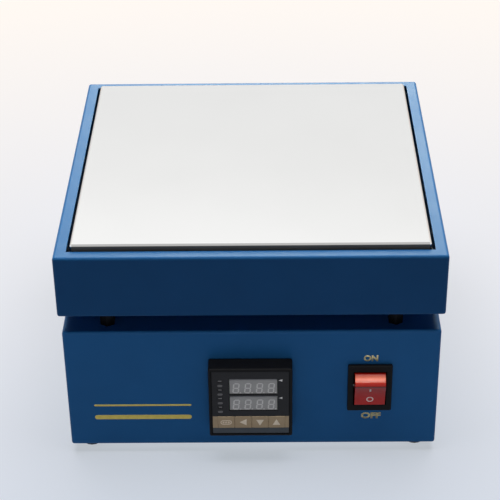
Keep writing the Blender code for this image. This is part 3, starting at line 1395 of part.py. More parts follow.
# The whole station

heating_plate()
cartridge_heaters()
thermocouple_probe()
insulation_blanket()
plate_posts()
plate_screws()
head_shell()
head_floor()
wire_conduit()
conduit_nut()
spacer_columns()
column_bolts()
case_shell()
bottom_plate()
feet()
foot_screws()
controller_case()
controller_fascia()
displays()
controller_keys()
control_board()
controller_brackets()
switch_housing()
power_rocker()
inlet_housing()
fuse_drawer()
mains_fuse()
inlet_screws()
relay()
terminal_block()
heater_loom()
mains_loom()
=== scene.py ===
"""Looks of the bench hot plate: materials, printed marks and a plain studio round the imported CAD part.

Lengths are metres in the part's own frame: +Z is up and the front faces -Y.
"""

import math

import bmesh
import bpy
from mathutils import Matrix, Vector
from mathutils.bvhtree import BVHTree


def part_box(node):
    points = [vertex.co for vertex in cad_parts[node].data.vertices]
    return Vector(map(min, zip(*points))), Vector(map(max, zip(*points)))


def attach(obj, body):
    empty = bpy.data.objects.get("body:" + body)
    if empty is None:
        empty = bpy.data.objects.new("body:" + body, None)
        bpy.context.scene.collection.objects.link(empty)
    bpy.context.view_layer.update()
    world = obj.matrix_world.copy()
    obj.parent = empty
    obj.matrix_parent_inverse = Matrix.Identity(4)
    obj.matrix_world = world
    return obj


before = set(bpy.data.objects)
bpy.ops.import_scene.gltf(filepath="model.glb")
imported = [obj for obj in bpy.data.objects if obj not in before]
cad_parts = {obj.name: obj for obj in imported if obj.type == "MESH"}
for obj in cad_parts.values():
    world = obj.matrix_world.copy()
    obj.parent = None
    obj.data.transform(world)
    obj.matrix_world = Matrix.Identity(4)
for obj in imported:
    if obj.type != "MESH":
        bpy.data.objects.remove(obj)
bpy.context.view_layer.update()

MM = 0.001

# Thin films and prints stand proud of what carries them by this much and bite in by this much
PRINT = 0.06 * MM
BITE = 0.02 * MM

# Camera, fitted to the edges of the plate and the two boxes in the photograph. Its sensor is in millimetres.
PICTURE = 500
FOCAL_PIXELS = 1538.2
SENSOR = 36.0
CAMERA_PLACE = Vector((0.0091, -0.8159, 0.5880))
CAMERA_DOWN = math.radians(32.114)
CAMERA_YAW = math.radians(0.748)
CAMERA_ROLL = math.radians(-0.780)


def srgb(red, green, blue):
    """Linear colour from sRGB values of 0 to 255."""
    linear = []
    for value in (red, green, blue):
        share = value / 255
        linear.append(share / 12.92 if share < 0.04045 else ((share + 0.055) / 1.055) ** 2.4)
    return (*linear, 1.0)


# Materials. Noise for roughness has finer patches than the colour's, by this share, and both have more detail.
ROUGH_SHARE = 3
ROUGH_DETAIL = 5.0
BUMP_DETAIL = 4.0
INSET_EDGE = 0.02 * MM


class Tree:
    """Adds nodes to a material or a world. A material's textures read object coordinates, in metres.

    A Mix node names its sockets alike for every kind of data, so they are found by number.
    """

    def __init__(self, owner, coordinates="Object"):
        owner.use_nodes = True
        self.owner = owner
        self.nodes = owner.node_tree.nodes
        self.links = owner.node_tree.links
        self.place = self.nodes.new("ShaderNodeTexCoord").outputs[coordinates]

    def feed(self, socket, value):
        """Gives a socket another one's value, or a plain one."""
        if isinstance(value, bpy.types.NodeSocket):
            self.links.new(value, socket)
        else:
            socket.default_value = value

    def stretched(self, scale):
        """The coordinates, scaled by axis so that a texture draws out along the axes with small numbers."""
        mapping = self.nodes.new("ShaderNodeMapping")
        mapping.inputs["Scale"].default_value = scale
        self.feed(mapping.inputs["Vector"], self.place)
        return mapping.outputs["Vector"]

    def noise(self, size, detail=3.0, place=None):
        """Cloudy noise whose patches are about this size."""
        texture = self.nodes.new("ShaderNodeTexNoise")
        texture.inputs["Scale"].default_value = 1 / size
        texture.inputs["Detail"].default_value = detail
        self.feed(texture.inputs["Vector"], place or self.place)
        return texture.outputs["Fac"]

    def ranged(self, value, low, high, start=0.3, end=0.7):
        """The value, stretched from its usual range to another one."""
        node = self.nodes.new("ShaderNodeMapRange")
        for name, number in (("From Min", start), ("From Max", end), ("To Min", low), ("To Max", high)):
            node.inputs[name].default_value = number
        self.feed(node.inputs["Value"], value)
        return node.outputs["Result"]

    def mixed(self, factor, first, second):
        """A colour between two."""
        node = self.nodes.new("ShaderNodeMix")
        node.data_type = "RGBA"
        for index, value in ((0, factor), (6, first), (7, second)):
            self.feed(node.inputs[index], value)
        return node.outputs[2]

    def between(self, factor, first, second):
        """A number between two."""
        node = self.nodes.new("ShaderNodeMix")
        for index, value in ((0, factor), (2, first), (3, second)):
            self.feed(node.inputs[index], value)
        return node.outputs[0]

    def maths(self, operation, *values):
        node = self.nodes.new("ShaderNodeMath")
        node.operation = operation
        for socket, value in zip(node.inputs, values):
            self.feed(socket, value)
        return node.outputs[0]

    def axes(self):
        split = self.nodes.new("ShaderNodeSeparateXYZ")
        self.feed(split.inputs[0], self.place)
        return split.outputs

    def inside(self, boxes, edge=INSET_EDGE):
        """1 inside any of the boxes, each given by its lowest and highest corner, and 0 beyond a soft edge."""
        along = self.axes()
        found = 0.0
        for low, high in boxes:
            product = 1.0
            for axis in range(3):
                middle, half = (low[axis] + high[axis]) / 2, (high[axis] - low[axis]) / 2
                off = self.maths("ABSOLUTE", self.maths("SUBTRACT", along[axis], middle))
                within = self.ranged(off, 1, 0, half - edge / 2, half + edge / 2)
                product = self.maths("MULTIPLY", product, within)
            found = self.maths("MAXIMUM", found, product)
        return found

    def seen(self):
        """1 for rays of the camera, reflections and glass, and 0 for light that falls on the object."""
        path = self.nodes.new("ShaderNodeLightPath").outputs
        both = self.maths("MAXIMUM", path["Is Camera Ray"], path["Is Glossy Ray"])
        return self.maths("MAXIMUM", both, path["Is Transmission Ray"])


def finish(name, light, dark, patch, roughness, grain, depth, stretch=None, insets=(), **sockets):
    """A material that drifts between two tones in patches, with a range of roughness and a fine bump.

    Patch and grain are sizes and depth is a height. Each inset gives boxes where the piece is another material,
    with its two tones, metallic and roughness, and if need be the width of its soft edge. The other values are
    constants on the shader's own sockets.
    """
    tree = Tree(bpy.data.materials.new(name))
    shader = tree.nodes["Principled BSDF"].inputs
    place = tree.stretched(stretch) if stretch else None
    drift = tree.ranged(tree.noise(patch), 0, 1)
    colour = tree.mixed(drift, light, dark)
    rough = tree.ranged(tree.noise(patch / ROUGH_SHARE, ROUGH_DETAIL, place), *roughness)
    metal = sockets.pop("Metallic", 0.0)
    for boxes, inner_light, inner_dark, inner_metal, inner_rough, *edge in insets:
        mask = tree.inside(boxes, *edge)
        colour = tree.mixed(mask, colour, tree.mixed(drift, inner_light, inner_dark))
        rough = tree.between(mask, rough, inner_rough)
        if metal != inner_metal:
            metal = tree.between(mask, metal, inner_metal)
    bump = tree.nodes.new("ShaderNodeBump")
    bump.inputs["Distance"].default_value = depth
    tree.feed(bump.inputs["Height"], tree.noise(grain, BUMP_DETAIL, place))
    tree.feed(shader["Normal"], bump.outputs["Normal"])
    for socket, value in (("Base Color", colour), ("Roughness", rough), ("Metallic", metal)):
        tree.feed(shader[socket], value)
    for socket, value in sockets.items():
        shader[socket.replace("_", " ")].default_value = value
    return tree.owner


# Places on the CAD part, and a distance past all of it

FACE_LOW, FACE_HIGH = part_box("controller_fascia")
FACE_X = (FACE_LOW.x + FACE_HIGH.x) / 2
FACE_Z = (FACE_LOW.z + FACE_HIGH.z) / 2
CASE_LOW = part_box("case_shell")[0]
PLATE_LOW, PLATE_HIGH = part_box("heating_plate")
ROCKER_LOW, ROCKER_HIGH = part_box("power_rocker")
ROCKER_X = (ROCKER_LOW.x + ROCKER_HIGH.x) / 2
SWITCH_LOW, SWITCH_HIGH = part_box("switch_housing")
SWITCH_Z = (SWITCH_LOW.z + SWITCH_HIGH.z) / 2
INLET_LOW, INLET_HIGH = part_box("inlet_housing")
INLET_X = (INLET_LOW.x + INLET_HIGH.x) / 2
INLET_Z = (INLET_LOW.z + INLET_HIGH.z) / 2
FUSE_LOW, FUSE_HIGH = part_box("mains_fuse")
FAR = 1.0


def column(x, z, width, tall):
    """A box about this middle that runs through from front to back."""
    return (x - width / 2, -FAR, z - tall / 2), (x + width / 2, FAR, z + tall / 2)


def layer(axis, low=-FAR, high=FAR):
    """A box with bounds along this axis only."""
    start, end = [-FAR] * 3, [FAR] * 3
    start[axis], end[axis] = low, high
    return start, end


# Films and lamps on the controller, in millimetres from its middle
STRIP_TOP, STRIP_BOTTOM, FILM_BOTTOM, FILM_HALF = -9.65, -17.95, -21.9, 22.0
LAMP_X, LAMP_HEIGHTS, LAMP_SIZE = -17.4, (15.4, 9.2, 3.0, -3.2), (2.6, 1.4)
LAMPS = [
    column(FACE_X + LAMP_X * MM, FACE_Z + z * MM, LAMP_SIZE[0] * MM, LAMP_SIZE[1] * MM) for z in LAMP_HEIGHTS
]
ABOVE_STRIP = layer(2, low=FACE_Z + STRIP_TOP * MM)
BELOW_STRIP = layer(2, high=FACE_Z + STRIP_BOTTOM * MM)
KEY_FACE_Z, KEY_FACE_TALL = -13.8, 8.2

# Pins of the inlet, from its middle, and the caps of the fuse
PIN_PLACES, PIN_SIZE = ((-7.0, 3.4), (7.0, 3.4), (0.0, 7.4)), (2.1, 4.1)
PINS = [
    column(INLET_X + x * MM, INLET_Z + z * MM, PIN_SIZE[0] * MM, PIN_SIZE[1] * MM) for x, z in PIN_PLACES
]
CAP = 5.0 * MM
CAPS = [layer(0, high=FUSE_LOW.x + CAP), layer(0, low=FUSE_HIGH.x - CAP)]

# The plate's sides, up to where its polished chamfer starts: sawn and rougher, and darker as painted shade of
# the gap round the plate
SAWN = 0.2 * MM
PLATE_SIDE_SHADE = [
    layer(1, high=PLATE_LOW.y + SAWN), layer(1, low=PLATE_HIGH.y - SAWN),
    layer(0, high=PLATE_LOW.x + SAWN), layer(0, low=PLATE_HIGH.x - SAWN),
]

# Heights on the rocker, from the switch's middle, where light and shade are painted into its red: a painted
# highlight on the crown, a painted glow of brighter red below it and painted shade on the ridge. The trunnions
# at its sides have painted shade.
CROWN_LOW, CROWN_HIGH, PAINTED_GLOW_LOW, RIDGE_LOW, TRUNNION = 8.3, 10.1, 6.7, 4.9, 1.45
ROCKER_CROWN_HIGHLIGHT = [layer(2, SWITCH_Z + CROWN_LOW * MM, SWITCH_Z + CROWN_HIGH * MM)]
ROCKER_PAINTED_GLOW = [layer(2, SWITCH_Z + PAINTED_GLOW_LOW * MM, SWITCH_Z + CROWN_HIGH * MM)]
ROCKER_RIDGE_SHADE = [layer(2, low=SWITCH_Z + RIDGE_LOW * MM)]
ROCKER_SIDE_SHADE = [layer(0, high=ROCKER_LOW.x + TRUNNION * MM), layer(0, low=ROCKER_HIGH.x - TRUNNION * MM)]

FASCIA_TONES = srgb(34, 34, 36), srgb(30, 30, 32)
BRONZE_TONES = srgb(172, 152, 123), srgb(163, 143, 115)
SLATE_TONES = srgb(66, 72, 78), srgb(61, 66, 72)
METAL_TONES = srgb(206, 205, 200), srgb(186, 185, 181)
LAMP_TONES = srgb(126, 124, 124), srgb(114, 113, 113)

BLUE = finish(
    "blue_enamel", srgb(43, 114, 178), srgb(41, 110, 172), 0.03, (0.32, 0.38), 0.9 * MM, 0.012 * MM,
    Specular_IOR_Level=0.1,
)
# The inset on the plate's sides is rougher, and darker as painted shade.
ALUMINIUM = finish(
    "ground_aluminium", srgb(231, 231, 230), srgb(229, 229, 228), 0.05, (0.14, 0.15), 0.25 * MM, 0.002 * MM,
    (0.06, 1.0, 1.0), insets=[(PLATE_SIDE_SHADE, srgb(120, 118, 114), srgb(112, 110, 107), 1.0, 0.65)], Metallic=1.0,
)
ZINC = finish(
    "zinc_plate", srgb(196, 198, 200), srgb(172, 175, 180), 0.008, (0.28, 0.42), 0.5 * MM, 0.004 * MM,
    Metallic=1.0,
)
# The spacer columns are this dark as painted shade of the gap between the head and the case.
DARK_STEEL_SHADE = finish(
    "dark_steel_painted_shade", srgb(34, 34, 37), srgb(27, 27, 30), 0.006, (0.34, 0.46), 0.4 * MM, 0.004 * MM,
    (1.0, 1.0, 0.1), Metallic=1.0,
)
STEEL = finish(
    "stainless_steel", srgb(205, 205, 202), srgb(184, 184, 182), 0.004, (0.20, 0.34), 0.3 * MM, 0.003 * MM,
    Metallic=1.0,
)
BRASS = finish(
    "turned_brass", srgb(218, 190, 130), srgb(200, 168, 106), 0.004, (0.22, 0.34), 0.3 * MM, 0.003 * MM,
    Metallic=1.0,
)
BLACK = finish(
    "black_plastic", srgb(8, 8, 10), srgb(5, 5, 7), 0.006, (0.50, 0.62), 0.35 * MM, 0.008 * MM,
    Specular_IOR_Level=0.12,
)
INLET_BLACK = finish(
    "inlet_plastic", srgb(15, 15, 17), srgb(10, 10, 12), 0.006, (0.42, 0.55), 0.35 * MM, 0.008 * MM,
    insets=[(PINS, *METAL_TONES, 1.0, 0.28)], Specular_IOR_Level=0.3,
)
FASCIA = finish(
    "fascia_film", *FASCIA_TONES, 0.006, (0.42, 0.52), 0.25 * MM, 0.003 * MM, Specular_IOR_Level=0.2,
)
BOARD = finish(
    "circuit_board", srgb(28, 110, 62), srgb(22, 96, 52), 0.004, (0.35, 0.50), 0.6 * MM, 0.006 * MM,
    insets=[(LAMPS, *LAMP_TONES, 0.0, 0.35)],
)
WINDOW = finish(
    "display_window", srgb(166, 166, 165), srgb(159, 159, 159), 0.005, (0.28, 0.38), 0.5 * MM, 0.001 * MM,
    Specular_IOR_Level=0.25,
)
SEGMENT = finish(
    "display_segments", srgb(214, 214, 212), srgb(206, 206, 205), 0.003, (0.35, 0.45), 0.3 * MM, 0.001 * MM,
    Specular_IOR_Level=0.25,
)
BRONZE = finish(
    "bronze_film", *BRONZE_TONES, 0.006, (0.38, 0.48), 0.2 * MM, 0.003 * MM,
    insets=[([ABOVE_STRIP], *FASCIA_TONES, 0.0, 0.45), ([BELOW_STRIP], *SLATE_TONES, 0.0, 0.42)],
    Specular_IOR_Level=0.3,
)
PALE_INK = finish(
    "pale_ink", srgb(232, 219, 198), srgb(224, 210, 189), 0.002, (0.45, 0.55), 0.15 * MM, 0.002 * MM,
)
DULL_INK = finish(
    "dull_ink", srgb(222, 206, 184), srgb(213, 197, 175), 0.002, (0.45, 0.55), 0.15 * MM, 0.002 * MM,
)
GREY_INK = finish(
    "grey_ink", srgb(98, 97, 97), srgb(88, 87, 88), 0.002, (0.45, 0.55), 0.15 * MM, 0.002 * MM,
)
WHITE_INK = finish(
    "white_ink", srgb(222, 222, 220), srgb(212, 212, 211), 0.002, (0.45, 0.55), 0.15 * MM, 0.002 * MM,
)
GOLD_INK = finish(
    "gold_ink", srgb(226, 206, 104), srgb(214, 194, 92), 0.002, (0.38, 0.50), 0.15 * MM, 0.003 * MM,
)
LABEL_INK = finish(
    "label_ink", srgb(204, 193, 142), srgb(195, 184, 132), 0.002, (0.38, 0.50), 0.15 * MM, 0.003 * MM,
)
# Red rocker plastic. Its insets are painted light: a painted shade on the ridge, a painted glow of brighter red,
# a painted highlight on the crown and painted shade on the trunnions.
RED = finish(
    "red_plastic_painted_light", srgb(196, 38, 34), srgb(186, 33, 29), 0.004, (0.22, 0.26), 0.6 * MM, 0.0005 * MM,
    insets=[(ROCKER_RIDGE_SHADE, srgb(118, 4, 2), srgb(110, 3, 2), 0.0, 0.24, 0.4 * MM),
            (ROCKER_PAINTED_GLOW, srgb(206, 34, 10), srgb(198, 30, 8), 0.0, 0.24, 2.2 * MM),
            (ROCKER_CROWN_HIGHLIGHT, srgb(255, 120, 76), srgb(252, 112, 70), 0.0, 0.22, 1.4 * MM),
            (ROCKER_SIDE_SHADE, srgb(30, 4, 3), srgb(24, 3, 3), 0.0, 0.5)],
    Specular_IOR_Level=0.1, Coat_Weight=0.3, Coat_Roughness=0.12,
)
WHITE_PRINT = finish(
    "rocker_print", srgb(250, 226, 220), srgb(244, 216, 210), 0.002, (0.40, 0.50), 0.15 * MM, 0.002 * MM,
)
RUBBER = finish(
    "foot_rubber", srgb(30, 30, 31), srgb(22, 22, 23), 0.004, (0.70, 0.90), 0.4 * MM, 0.020 * MM,
)
CERAMIC = finish(
    "ceramic", srgb(232, 228, 216), srgb(220, 214, 200), 0.004, (0.45, 0.65), 0.3 * MM, 0.010 * MM,
)
CREAM = finish(
    "relay_plastic", srgb(214, 206, 184), srgb(204, 195, 172), 0.006, (0.40, 0.52), 0.3 * MM, 0.006 * MM,
)
GLASS = finish(
    "fuse_glass", srgb(206, 214, 214), srgb(190, 200, 201), 0.003, (0.06, 0.12), 0.5 * MM, 0.001 * MM,
    insets=[(CAPS, *METAL_TONES, 1.0, 0.25)],
)
FIBRE = finish(
    "mineral_wool", srgb(104, 100, 92), srgb(80, 76, 69), 0.006, (0.90, 1.0), 1.2 * MM, 0.350 * MM,
    (1.0, 0.35, 1.0),
)
SLEEVE = finish(
    "woven_sleeve", srgb(226, 220, 204), srgb(198, 190, 172), 0.0012, (0.75, 0.95), 0.45 * MM, 0.080 * MM,
)


def numbered(*kinds):
    """The names of nodes that come in fours."""
    return [f"{kind}_{index}" for kind in kinds for index in range(1, 5)]


FINISH_OF = (
    (BLUE, ["head_shell", "case_shell"]),
    (ALUMINIUM, ["heating_plate"]),
    (ZINC, ["head_floor", "bottom_plate", "wire_conduit", "conduit_nut"]),
    (DARK_STEEL_SHADE, numbered("spacer_column")),
    (STEEL, ["relay_base", "inlet_screw_1", "inlet_screw_2",
             *numbered("cartridge_heater", "plate_screw", "column_bolt", "foot_screw")]),
    (BRASS, ["thermocouple_probe"]),
    (BLACK, ["controller_case", "controller_bracket_upper", "controller_bracket_lower", "switch_housing"]),
    (INLET_BLACK, ["inlet_housing", "fuse_drawer"]),
    (FASCIA, ["controller_fascia"]),
    (BOARD, ["control_board"]),
    (WINDOW, ["process_display", "setpoint_display"]),
    (BRONZE, ["key_set", "key_shift", "key_down", "key_up"]),
    (RED, ["power_rocker"]),
    (RUBBER, numbered("foot")),
    (CERAMIC, ["terminal_block", *numbered("plate_post")]),
    (CREAM, ["relay_body"]),
    (GLASS, ["mains_fuse"]),
    (FIBRE, ["insulation_blanket"]),
    (SLEEVE, ["heater_loom", "mains_loom"]),
)


def dress(obj, material):
    obj.data.materials.clear()
    obj.data.materials.append(material)
    return obj


for material, names in FINISH_OF:
    for name in names:
        dress(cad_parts[name], material)


# Flat prints and films on faces that look forward

UPRIGHT = Matrix.Rotation(math.radians(90), 4, "X")


def printed(name, curve, face, material, body="station"):
    """Makes a flat curve, drawn in X and Z, into a thin piece on a face that looks forward."""
    curve.dimensions = "2D"
    curve.fill_mode = "BOTH"
    curve.extrude = (PRINT + BITE) / 2
    drawn = bpy.data.objects.new(name + "_drawn", curve)
    bpy.context.scene.collection.objects.link(drawn)
    mesh = bpy.data.meshes.new_from_object(drawn.evaluated_get(bpy.context.evaluated_depsgraph_get()))
    bpy.data.objects.remove(drawn)
    mesh.name = name
    mesh.transform(Matrix.Translation((0, face + (BITE - PRINT) / 2, 0)) @ UPRIGHT)
    obj = bpy.data.objects.new(name, mesh)
    bpy.context.scene.collection.objects.link(obj)
    dress(obj, material)
    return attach(obj, body)


def outlines(name, loops):
    """A curve of closed outlines. An outline inside another one is a hole."""
    curve = bpy.data.curves.new(name, "CURVE")
    curve.dimensions = "2D"
    for loop in loops:
        spline = curve.splines.new("POLY")
        spline.points.add(len(loop) - 1)
        spline.use_cyclic_u = True
        for point, (x, z) in zip(spline.points, loop):
            point.co = (x, z, 0, 1)
    return curve


def words(text, centre_x, centre_z, width, tall, weight):
    """A word as a flat mesh of this width and height, made bolder by weight."""
    curve = bpy.data.curves.new(text, "FONT")
    curve.body = text
    curve.offset = weight
    probe = bpy.data.objects.new(text, curve)
    bpy.context.scene.collection.objects.link(probe)
    mesh = bpy.data.meshes.new_from_object(probe.evaluated_get(bpy.context.evaluated_depsgraph_get()))
    bpy.data.objects.remove(probe)
    for axis, middle, size in ((0, centre_x, width), (1, centre_z, tall)):
        low = min(vert.co[axis] for vert in mesh.vertices)
        high = max(vert.co[axis] for vert in mesh.vertices)
        for vert in mesh.vertices:
            vert.co[axis] = middle + (vert.co[axis] - (low + high) / 2) * size / (high - low)
    return mesh


def ring(centre_x, centre_z, radius, sides=32, squash=1.0):
    steps = [2 * math.pi * index / sides for index in range(sides)]
    return [(centre_x + radius * math.cos(a), centre_z + squash * radius * math.sin(a)) for a in steps]


def rectangle(centre_x, centre_z, width, tall):
    x, z = width / 2, tall / 2
    return [(centre_x + i * x, centre_z + j * z) for i, j in ((-1, -1), (1, -1), (1, 1), (-1, 1))]


def pill(centre_x, centre_z, width, tall, sides=8):
    """A bar with round ends."""
    radius, reach = tall / 2, (width - tall) / 2
    points = []
    for side, start in ((1, -90), (-1, 90)):
        for step in range(sides + 1):
            angle = math.radians(start + 180 * step / sides)
            x = centre_x + side * reach + radius * math.cos(angle)
            points.append((x, centre_z + radius * math.sin(angle)))
    return points


def arrowhead(centre_x, centre_z, length, breadth, towards):
    """A triangle of this length and breadth that points to this angle, in degrees from the right."""
    turn = Matrix.Rotation(math.radians(towards), 2)
    corners = ((length / 2, 0), (-length / 2, breadth / 2), (-length / 2, -breadth / 2))
    return [tuple(turn @ Vector(corner) + Vector((centre_x, centre_z))) for corner in corners]


# Labels at the switch and the gold trim on the case. Heights are from the case's lower edge.
ON_OFF = (("ON", 68.1, 61.9, 8.2, 4.3), ("OFF", 69.2, 20.7, 11.6, 4.5))
WORD_WEIGHT = 0.045
STRIPES = ((-64.0, 29.1, 56.8, 1.2), (-64.0, 20.4, 56.8, 3.0))
for text, x, z, width, tall in ON_OFF:
    name = "label_" + text.lower()
    mesh = words(text, x * MM, CASE_LOW.z + z * MM, width * MM, tall * MM, WORD_WEIGHT)
    mesh.transform(Matrix.Translation((0, CASE_LOW.y - PRINT, 0)) @ UPRIGHT)
    label = bpy.data.objects.new(name, mesh)
    bpy.context.scene.collection.objects.link(label)
    solid = label.modifiers.new("ink", "SOLIDIFY")
    solid.thickness = PRINT + BITE
    solid.offset = -1
    dress(label, LABEL_INK)
    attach(label, "station")

for index, (x, z, width, tall) in enumerate(STRIPES):
    loop = pill(x * MM, CASE_LOW.z + z * MM, width * MM, tall * MM)
    printed(f"gold_stripe_{index + 1}", outlines("stripe", [loop]), CASE_LOW.y, GOLD_INK)

# Digits behind the two windows, in millimetres. They start above the foot of each display.
DIGIT_WIDTH, DIGIT_TALL, SEGMENT_WIDTH, DIGIT_PITCH = 3.0, 6.4, 0.75, 6.7
DIGIT_START, DIGIT_FOOT, SEGMENT_GAP = -8.2, 0.25, 0.1
POINT_X, POINT_SIDE = 1.3, 0.8
DIGIT_SLANT = math.tan(math.radians(6))


def digit(x, z):
    """The seven segments and the point of an unlit digit about a middle, in metres."""
    half, level, thick = DIGIT_WIDTH / 2, DIGIT_TALL / 4, SEGMENT_WIDTH / 2
    shapes = []
    for row in (-2 * level, 0, 2 * level):
        end = half - SEGMENT_GAP
        shapes.append([(-end, row), (thick - end, row + thick), (end - thick, row + thick), (end, row),
                       (end - thick, row - thick), (thick - end, row - thick)])
    for side in (-half, half):
        for middle in (-level, level):
            end = level - SEGMENT_GAP
            shapes.append([(side, middle - end), (side + thick, middle - end + thick),
                           (side + thick, middle + end - thick), (side, middle + end),
                           (side - thick, middle + end - thick), (side - thick, middle - end + thick)])
    shapes.append(rectangle(half + POINT_X, -2 * level, POINT_SIDE, POINT_SIDE))
    return [[(x + (u + v * DIGIT_SLANT) * MM, z + v * MM) for u, v in shape] for shape in shapes]


for name in ("process_display", "setpoint_display"):
    low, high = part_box(name)
    middle = low.z + (DIGIT_FOOT + SEGMENT_WIDTH / 2 + DIGIT_TALL / 2) * MM
    shapes = []
    for index in range(4):
        shapes += digit(FACE_X + (DIGIT_START + index * DIGIT_PITCH) * MM, middle)
    printed(name + "_digits", outlines("digits", shapes), low.y, SEGMENT)

# One film carries the bronze strip round the keys and the slate strip below them. It starts above both.
KEY_CLEARANCE = 0.06 * MM
FILM_TOP = STRIP_TOP + 0.25
film_middle, film_tall = FACE_Z + (FILM_TOP + FILM_BOTTOM) / 2 * MM, (FILM_TOP - FILM_BOTTOM) * MM
film = [rectangle(FACE_X, film_middle, 2 * FILM_HALF * MM, film_tall)]
for name in ("key_set", "key_shift", "key_down", "key_up"):
    low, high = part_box(name)
    film.append(rectangle((low.x + high.x) / 2, FACE_Z + KEY_FACE_Z * MM, high.x - low.x + 2 * KEY_CLEARANCE,
                          KEY_FACE_TALL * MM + 2 * KEY_CLEARANCE))
printed("key_film", outlines("film", film), FACE_LOW.y, BRONZE)

# Small marks between the lamps and an arrow at each window
MARK_HEIGHTS, MARK_SIZE = (12.3, 6.1, -0.1, -6.3), (2.9, 1.5)
marks = [
    pill(FACE_X + LAMP_X * MM, FACE_Z + z * MM, MARK_SIZE[0] * MM, MARK_SIZE[1] * MM) for z in MARK_HEIGHTS
]
printed("lamp_marks", outlines("marks", marks), FACE_LOW.y, GREY_INK)
ARROW_X, ARROW_HEIGHTS, ARROW_SIZE = 17.1, (15.9, 3.4), (2.2 * MM, 1.5 * MM)
arrows = [arrowhead(FACE_X + ARROW_X * MM, FACE_Z + z * MM, *ARROW_SIZE, 180) for z in ARROW_HEIGHTS]
printed("window_arrows", outlines("arrows", arrows), FACE_LOW.y, WHITE_INK)

# Symbols on the keys: three dots in a frame, and arrows. Each row gives a key, its body, where its arrow points
# and how far the symbol is to the right of the key's middle and above it.
KEY_SYMBOLS = (
    ("key_set", "set_button", None, 0.0, 0.0), ("key_shift", "shift_button", 180, 0.0, 0.1),
    ("key_down", "down_button", 270, 0.0, -0.3), ("key_up", "up_button", 90, -0.3, 0.1),
)
KEY_ARROW = 4.1 * MM, 4.4 * MM
FRAME_OUT, FRAME_IN = (6.6 * MM, 3.2 * MM), (5.4 * MM, 2.0 * MM)
DOT_RADIUS, DOT_PITCH, DOT_SIDES = 0.6 * MM, 1.5, 16
for name, body, towards, right, up in KEY_SYMBOLS:
    low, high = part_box(name)
    x, z = (low.x + high.x) / 2 + right * MM, FACE_Z + (KEY_FACE_Z + up) * MM
    if towards is None:
        loops = [pill(x, z, *FRAME_OUT), pill(x, z, *FRAME_IN)]
        loops += [ring(x + step * DOT_PITCH * MM, z, DOT_RADIUS, DOT_SIDES) for step in (-1, 0, 1)]
        printed(name + "_mark", outlines("mark", loops), low.y, DULL_INK, body)
    else:
        loop = arrowhead(x, z, *KEY_ARROW, towards)
        printed(name + "_mark", outlines("mark", [loop]), low.y, PALE_INK, body)


def laid_on(name, loops, node, material, body):
    """A print that follows a curved front: each point is moved back or forward onto the CAD node's surface."""
    obj = printed(name, outlines(name, loops), 0.0, material, body)
    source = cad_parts[node].data
    tree = BVHTree.FromPolygons([v.co for v in source.vertices], [p.vertices for p in source.polygons])
    for vert in obj.data.vertices:
        hit = tree.ray_cast(Vector((vert.co.x, -FAR, vert.co.z)), Vector((0, 1, 0)))[0]
        vert.co.y += hit.y
    return obj


# The switch's line and ring, laid on the hollow face of the rocker. Heights are from the switch's middle.
LINE_Z, LINE_SIZE = 2.4, (0.9, 2.3)
RING_Z, RING_OUT, RING_IN, RING_SQUASH = -5.5, 2.05, 1.45, 0.92
laid_on("rocker_line", [
    rectangle(ROCKER_X, SWITCH_Z + LINE_Z * MM, LINE_SIZE[0] * MM, LINE_SIZE[1] * MM)
], "power_rocker", WHITE_PRINT, "rocker")
laid_on("rocker_ring", [
    ring(ROCKER_X, SWITCH_Z + RING_Z * MM, radius * MM, squash=RING_SQUASH) for radius in (RING_OUT, RING_IN)
], "power_rocker", WHITE_PRINT, "rocker")


# Studio: a pale floor, white surroundings, soft lamps above and behind, and two weak ones in front. The floor as
# it is seen goes from its near tone to its far one between two distances from a point in front of the object.

FLOOR_REACH = 6.0
FLOOR_FRONT = -0.30
FLOOR_NEAR, FLOOR_FAR = 0.10, 0.95
FLOOR_TONE = srgb(170, 172, 184)
FLOOR_SEEN_NEAR, FLOOR_SEEN_FAR = srgb(169, 178, 187), srgb(231, 221, 206)
WHITE = (1.0, 1.0, 1.0, 1.0)
AMBIENT, AMBIENT_TINT = 0.02, (0.88, 0.94, 1.10, 1.0)

# In reflections, the surroundings gain this much in a band of heights and lose this much in front
BAND, BAND_SLOPE, BAND_RISE, BAND_FALL = 0.21, -0.1, (0.500, 0.525), (0.68, 0.90)
SHADE, SHADE_FROM, SHADE_TO = 0.45, -0.15, -0.5

# Powers of the lamps, in watts
OVERHEAD, BEHIND, PANEL_FILL, CASE_FILL = 18, 38, 10.5, 3.6
BEHIND_TINT = (1.0, 1.08, 0.90)
PANEL = (0, -0.1, 0.06)


def studio_floor():
    """Paper that takes the object's shadow, and is paler where it is seen directly or in a reflection."""
    bm = bmesh.new()
    bmesh.ops.create_grid(bm, x_segments=1, y_segments=1, size=FLOOR_REACH)
    mesh = bpy.data.meshes.new("floor")
    bm.to_mesh(mesh)
    bm.free()
    floor = bpy.data.objects.new("floor", mesh)
    bpy.context.scene.collection.objects.link(floor)
    tree = Tree(bpy.data.materials.new("floor_paper"))
    along = tree.axes()
    ahead = tree.maths("SUBTRACT", along["Y"], FLOOR_FRONT)
    squares = tree.maths("MULTIPLY_ADD", ahead, ahead, tree.maths("MULTIPLY", along["X"], along["X"]))
    away = tree.ranged(tree.maths("SQRT", squares), 0, 1, FLOOR_NEAR, FLOOR_FAR)
    shader = tree.nodes["Principled BSDF"].inputs
    tree.feed(shader["Base Color"], FLOOR_TONE)
    tree.feed(shader["Roughness"], 0.9)
    tree.feed(shader["Specular IOR Level"], 0.0)
    tree.feed(shader["Emission Color"], tree.mixed(away, FLOOR_SEEN_NEAR, FLOOR_SEEN_FAR))
    tree.feed(shader["Emission Strength"], tree.seen())
    dress(floor, tree.owner)
    return floor


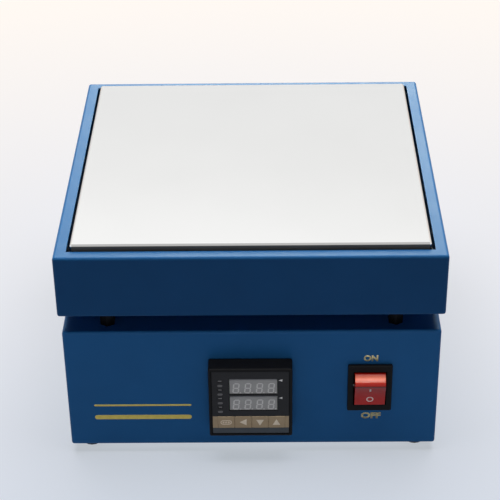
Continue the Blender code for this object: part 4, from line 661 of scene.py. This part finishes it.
def studio_world():
    """White where it is seen directly, and dim as light. Reflections show a bright band and a darker front."""
    world = bpy.data.worlds.new("studio")
    bpy.context.scene.world = world
    tree = Tree(world, "Generated")
    seen = tree.seen()
    glossy = tree.nodes.new("ShaderNodeLightPath").outputs["Is Glossy Ray"]
    along = tree.axes()
    level = tree.maths("MULTIPLY_ADD", along["X"], BAND_SLOPE, along["Z"])
    rise, fall = tree.ranged(level, 0, BAND, *BAND_RISE), tree.ranged(level, 1, 0, *BAND_FALL)
    shade = tree.ranged(along["Y"], SHADE, 0, SHADE_TO, SHADE_FROM)
    mirrored = tree.maths("SUBTRACT", tree.maths("MULTIPLY", rise, fall), shade)
    back = tree.nodes["Background"].inputs
    tree.feed(back["Strength"], tree.maths("MULTIPLY_ADD", glossy, mirrored, tree.between(seen, AMBIENT, 1.0)))
    tree.feed(back["Color"], tree.mixed(seen, AMBIENT_TINT, WHITE))


def lamp(name, place, target, size, power, receivers, link_state, tint=WHITE[:3]):
    """A square soft lamp. The receivers are all that it lights, or with EXCLUDE all that it doesn't."""
    light = bpy.data.lights.new(name, "AREA")
    light.shape = "SQUARE"
    light.size = size
    light.energy = power
    light.color = tint
    obj = bpy.data.objects.new(name, light)
    obj.location = place
    obj.rotation_euler = (Vector(target) - Vector(place)).to_track_quat("-Z", "Y").to_euler()
    bpy.context.scene.collection.objects.link(obj)
    linked = bpy.data.collections.new(name + "_receivers")
    for receiver in receivers:
        linked.objects.link(receiver)
    for item in linked.collection_objects:
        item.light_linking.link_state = link_state
    obj.light_linking.receiver_collection = linked


def camera():
    data = bpy.data.cameras.new("camera")
    data.sensor_fit = "HORIZONTAL"
    data.sensor_width = SENSOR
    data.lens = FOCAL_PIXELS / PICTURE * SENSOR
    obj = bpy.data.objects.new("camera", data)
    obj.matrix_world = (
        Matrix.Translation(CAMERA_PLACE)
        @ Matrix.Rotation(CAMERA_YAW, 4, "Z")
        @ Matrix.Rotation(math.pi / 2 - CAMERA_DOWN, 4, "X")
        @ Matrix.Rotation(CAMERA_ROLL, 4, "Z")
    )
    bpy.context.scene.collection.objects.link(obj)
    bpy.context.scene.camera = obj


ground = studio_floor()
studio_world()
plate, head, case = (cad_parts[name] for name in ("heating_plate", "head_shell", "case_shell"))
columns = [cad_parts[name] for name in numbered("spacer_column")]
lamp("overhead", (0, 0.18, 1.50), (0, 0.05, 0.1), 1.3, OVERHEAD, [plate], "EXCLUDE")
lamp("behind", (0.10, 2.2, 1.40), (0, 0, 0.14), 1.1, BEHIND, [head, case], "INCLUDE", BEHIND_TINT)
lamp("panel_fill", (0, -0.95, 1.30), PANEL, 0.5, PANEL_FILL, [plate, ground, head, case, *columns], "EXCLUDE")
lamp("case_fill", (0, -1.50, 0.10), PANEL, 0.8, CASE_FILL, [case], "INCLUDE")
camera()
bpy.context.scene.view_settings.view_transform = "Standard"
